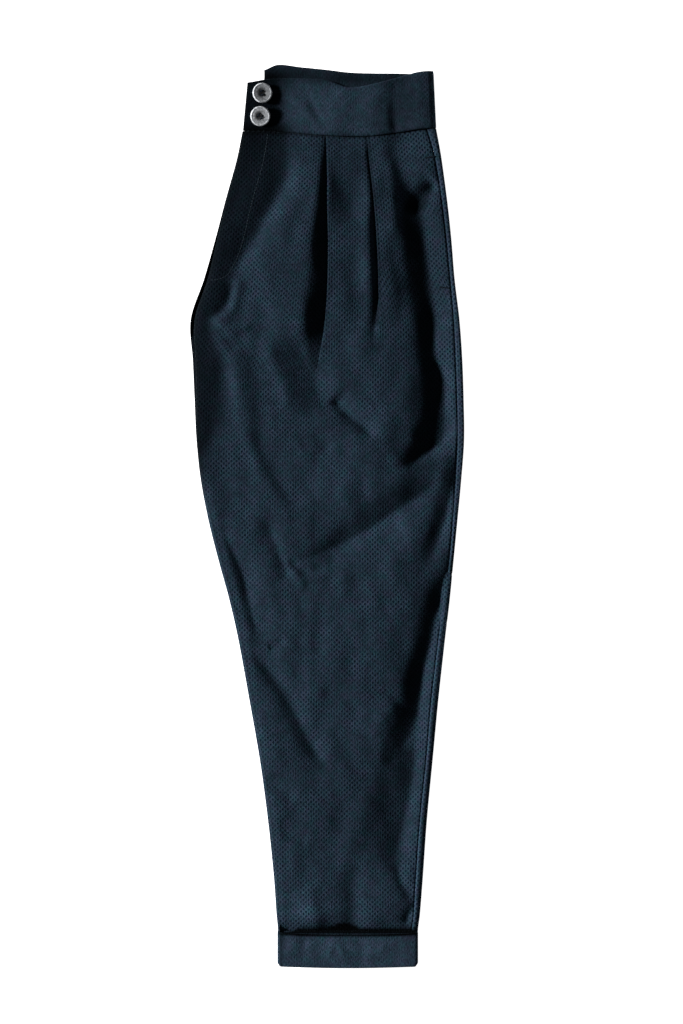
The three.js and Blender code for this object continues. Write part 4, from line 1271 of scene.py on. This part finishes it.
buttonForm = makeButtonForm()
for node, *spot in buttons["places"]:
    place = placeOnBand(*spot)
    piece = buttonForm.copy()
    piece.data = buttonForm.data.copy()
    piece.name = "button" + node.split("_")[1].capitalize()
    bpy.context.scene.collection.objects.link(piece)
    markUv(piece, "button")
    piece.data.transform(place)
    piece.data.materials.append(greyShell)
    clearSelection()
    piece.select_set(True)
    bpy.context.view_layer.objects.active = piece
    bpy.ops.object.shade_smooth_by_angle(angle=math.radians(38))
    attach(piece, "root")
    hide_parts(node)
    for label, shift in (("One", -buttons["holeSpread"]), ("Two", buttons["holeSpread"])):
        bar = makeThreadBar(piece.name + "Thread" + label, shift, place)
        bar.data.materials.append(navyThread)
        bpy.ops.object.shade_smooth()
        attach(bar, "root")
    shank = makeShank(piece.name + "Shank", place)
    shank.data.materials.append(navyThread)
    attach(shank, "root")
bpy.data.objects.remove(buttonForm)
print("Buttons made")


# Sewing

sewing = {
    "stitch": 2.5, "space": 0.9, "thread": 0.42,
    "above": 0.08, "sunk": 0.06,  # how far stitches lie above a panel and in the band
    "fly": [(-62, 401), (-66, 375), (-71, 355), (-79, 327), (-87, 292), (-94, 271), (-103, 254),
            (-113, 248), (-123, 247)],
    "holes": [((-80, 445.4), (-46, 446)), ((-82, 421), (-49, 421.4))],
    "holeThread": 0.55, "holeStep": 0.62, "holeStitch": (0.35, 2.0), "eye": (0.4, 2.1, 2.0),
    "pocketBars": [((103.5, 374.5), (112.2, 376)), ((118, 240), (128, 239))],
    "barThread": 0.5, "barStep": 0.6, "barStitch": 0.9, "barSlant": 0.25,
}


def makeStitchForm():
    clearSelection()
    bpy.ops.mesh.primitive_uv_sphere_add(segments=8, ring_count=6, radius=0.5)
    form = bpy.context.object
    bpy.ops.object.mode_set(mode="EDIT")
    bpy.ops.mesh.select_all(action="SELECT")
    bpy.ops.transform.rotate(value=math.pi / 2, orient_axis="Y", center_override=(0, 0, 0))
    bpy.ops.object.mode_set(mode="OBJECT")
    return form


stitchForm = makeStitchForm()


def sewStitches(name, ends, thickness, thread=navyThread):
    clearSelection()
    copies = []
    for start, end in ends:
        start, end = Vector(start) * mm, Vector(end) * mm
        stitch = stitchForm.copy()
        stitch.data = stitchForm.data.copy()
        turn = (end - start).to_track_quat("X", "Z").to_matrix().to_4x4()
        size = Matrix.Diagonal(((end - start).length, thickness * mm, thickness * mm, 1))
        stitch.data.transform(Matrix.Translation((start + end) / 2) @ turn @ size)
        bpy.context.scene.collection.objects.link(stitch)
        stitch.select_set(True)
        copies.append(stitch)
    bpy.context.view_layer.objects.active = copies[0]
    bpy.ops.object.join()
    piece = bpy.context.object
    piece.name = name
    piece.data.materials.clear()
    piece.data.materials.append(thread)
    bpy.ops.object.shade_smooth()
    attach(piece, "root")
    return piece


def alongRoute(points, step):
    route = smoothRoute(points)
    far = lengthAlong(route)
    marks = np.arange(0, far[-1], step)
    return np.stack([np.interp(marks, far, route[:, i]) for i in (0, 1)], -1)


def onPanel(x, y):
    return (x, float(followSeam(x, y)), float(topHeight(x, y)) + cloth / 2 + sewing["above"])


def onBand(x, y):
    return (x, y, float(band("face", x)) + bandLift(x, y) - sewing["sunk"])


flyMarks = alongRoute(sewing["fly"], 0.5)
step = int(2 * (sewing["stitch"] + sewing["space"]))
length = int(2 * sewing["stitch"])
flyEnds = [(onPanel(*flyMarks[i]), onPanel(*flyMarks[i + length]))
           for i in range(0, len(flyMarks) - length, step)]
sewStitches("flyStitches", flyEnds, sewing["thread"], paleThread)

for label, ((x0, y0), (x1, y1)) in zip(("Upper", "Lower"), sewing["holes"]):
    ends = []
    near, far = sewing["holeStitch"]
    for x in np.arange(x0, x1, sewing["holeStep"]):
        middle = y0 + (y1 - y0) * (x - x0) / (x1 - x0)
        for side in (-1, 1):
            ends.append((onBand(x, middle + side * near), onBand(x, middle + side * far)))
    near, long, high = sewing["eye"]
    for angle in np.linspace(-80, 80, 9):
        dx, dy = math.cos(math.radians(angle)), math.sin(math.radians(angle))
        ends.append((onBand(x1 + near * dx, y1 + near * dy), onBand(x1 + long * dx, y1 + high * dy)))
    sewStitches("buttonhole" + label, ends, sewing["holeThread"])

for label, ((x0, y0), (x1, y1)) in zip(("Top", "Foot"), sewing["pocketBars"]):
    ends = []
    reach = sewing["barStitch"]
    for x in np.arange(x0, x1, sewing["barStep"]):
        y = y0 + (y1 - y0) * (x - x0) / (x1 - x0)
        ends.append((onPanel(x, y - reach), onPanel(x + sewing["barSlant"], y + reach)))
    sewStitches("pocketBar" + label, ends, sewing["barThread"])
bpy.data.objects.remove(stitchForm)
print("Sewing made")


# Floor, light and camera

studio = {  # metres, and degrees for the key's spread
    "floor": 8, "floorDown": 0.4 * mm, "floorGrey": 0.9, "floorGlow": 1.0,
    "key": {"from": (-0.926, 0.122, 0.358), "strength": 8.7, "spread": 9},
    "fill": {"place": (1.2, -1.0, 2.6), "size": 3, "power": 5},
    "world": 0.05, "worldColour": (0.95, 0.98, 1, 1),
}


def makeFloor():
    clearSelection()
    bpy.ops.mesh.primitive_plane_add(size=studio["floor"], location=(0, 0, -studio["floorDown"]))
    floor = bpy.context.object
    floor.name = "floor"
    material, _, shader = newMaterial("paleFloor")
    shader.inputs["Base Color"].default_value = (*[studio["floorGrey"]] * 3, 1)
    shader.inputs["Roughness"].default_value = 0.9
    shader.inputs["Emission Color"].default_value = (1, 1, 1, 1)
    shader.inputs["Emission Strength"].default_value = studio["floorGlow"]
    floor.data.materials.append(material)


def makeKey():
    clearSelection()
    bpy.ops.object.light_add(type="SUN", location=studio["key"]["from"])
    light = bpy.context.object
    light.name = "key"
    light.data.energy = studio["key"]["strength"]
    light.data.angle = math.radians(studio["key"]["spread"])
    light.rotation_euler = light.location.to_track_quat("Z", "Y").to_euler()


def makeFill():
    spec = studio["fill"]
    clearSelection()
    bpy.ops.object.light_add(type="AREA", location=spec["place"])
    light = bpy.context.object
    light.name = "fill"
    light.data.shape = "DISK"
    light.data.size = spec["size"]
    light.data.energy = spec["power"]
    light.rotation_euler = light.location.to_track_quat("Z", "Y").to_euler()


makeFloor()
makeKey()
makeFill()
world = bpy.data.worlds.new("studio")
world.use_nodes = True
world.node_tree.nodes["Background"].inputs["Color"].default_value = studio["worldColour"]
world.node_tree.nodes["Background"].inputs["Strength"].default_value = studio["world"]
bpy.context.scene.world = world

cameraView = {
    "width": 683, "height": 1024,  # of the picture
    "perPixel": 1.05, "middle": (15.2, 4.2, 12), "lens": 120, "film": 36,
}


def makeCamera():
    v = cameraView
    clearSelection()
    distance = v["height"] * v["perPixel"] * v["lens"] / v["film"]
    x, y, z = v["middle"]
    bpy.ops.object.camera_add(location=(x * mm, y * mm, (z + distance) * mm), rotation=(0, 0, 0))
    camera = bpy.context.object
    camera.data.lens = v["lens"]
    camera.data.sensor_width = v["film"]
    camera.data.clip_end = 50
    bpy.context.scene.camera = camera
    bpy.context.scene.view_settings.view_transform = "Standard"


makeCamera()
print("Studio made")
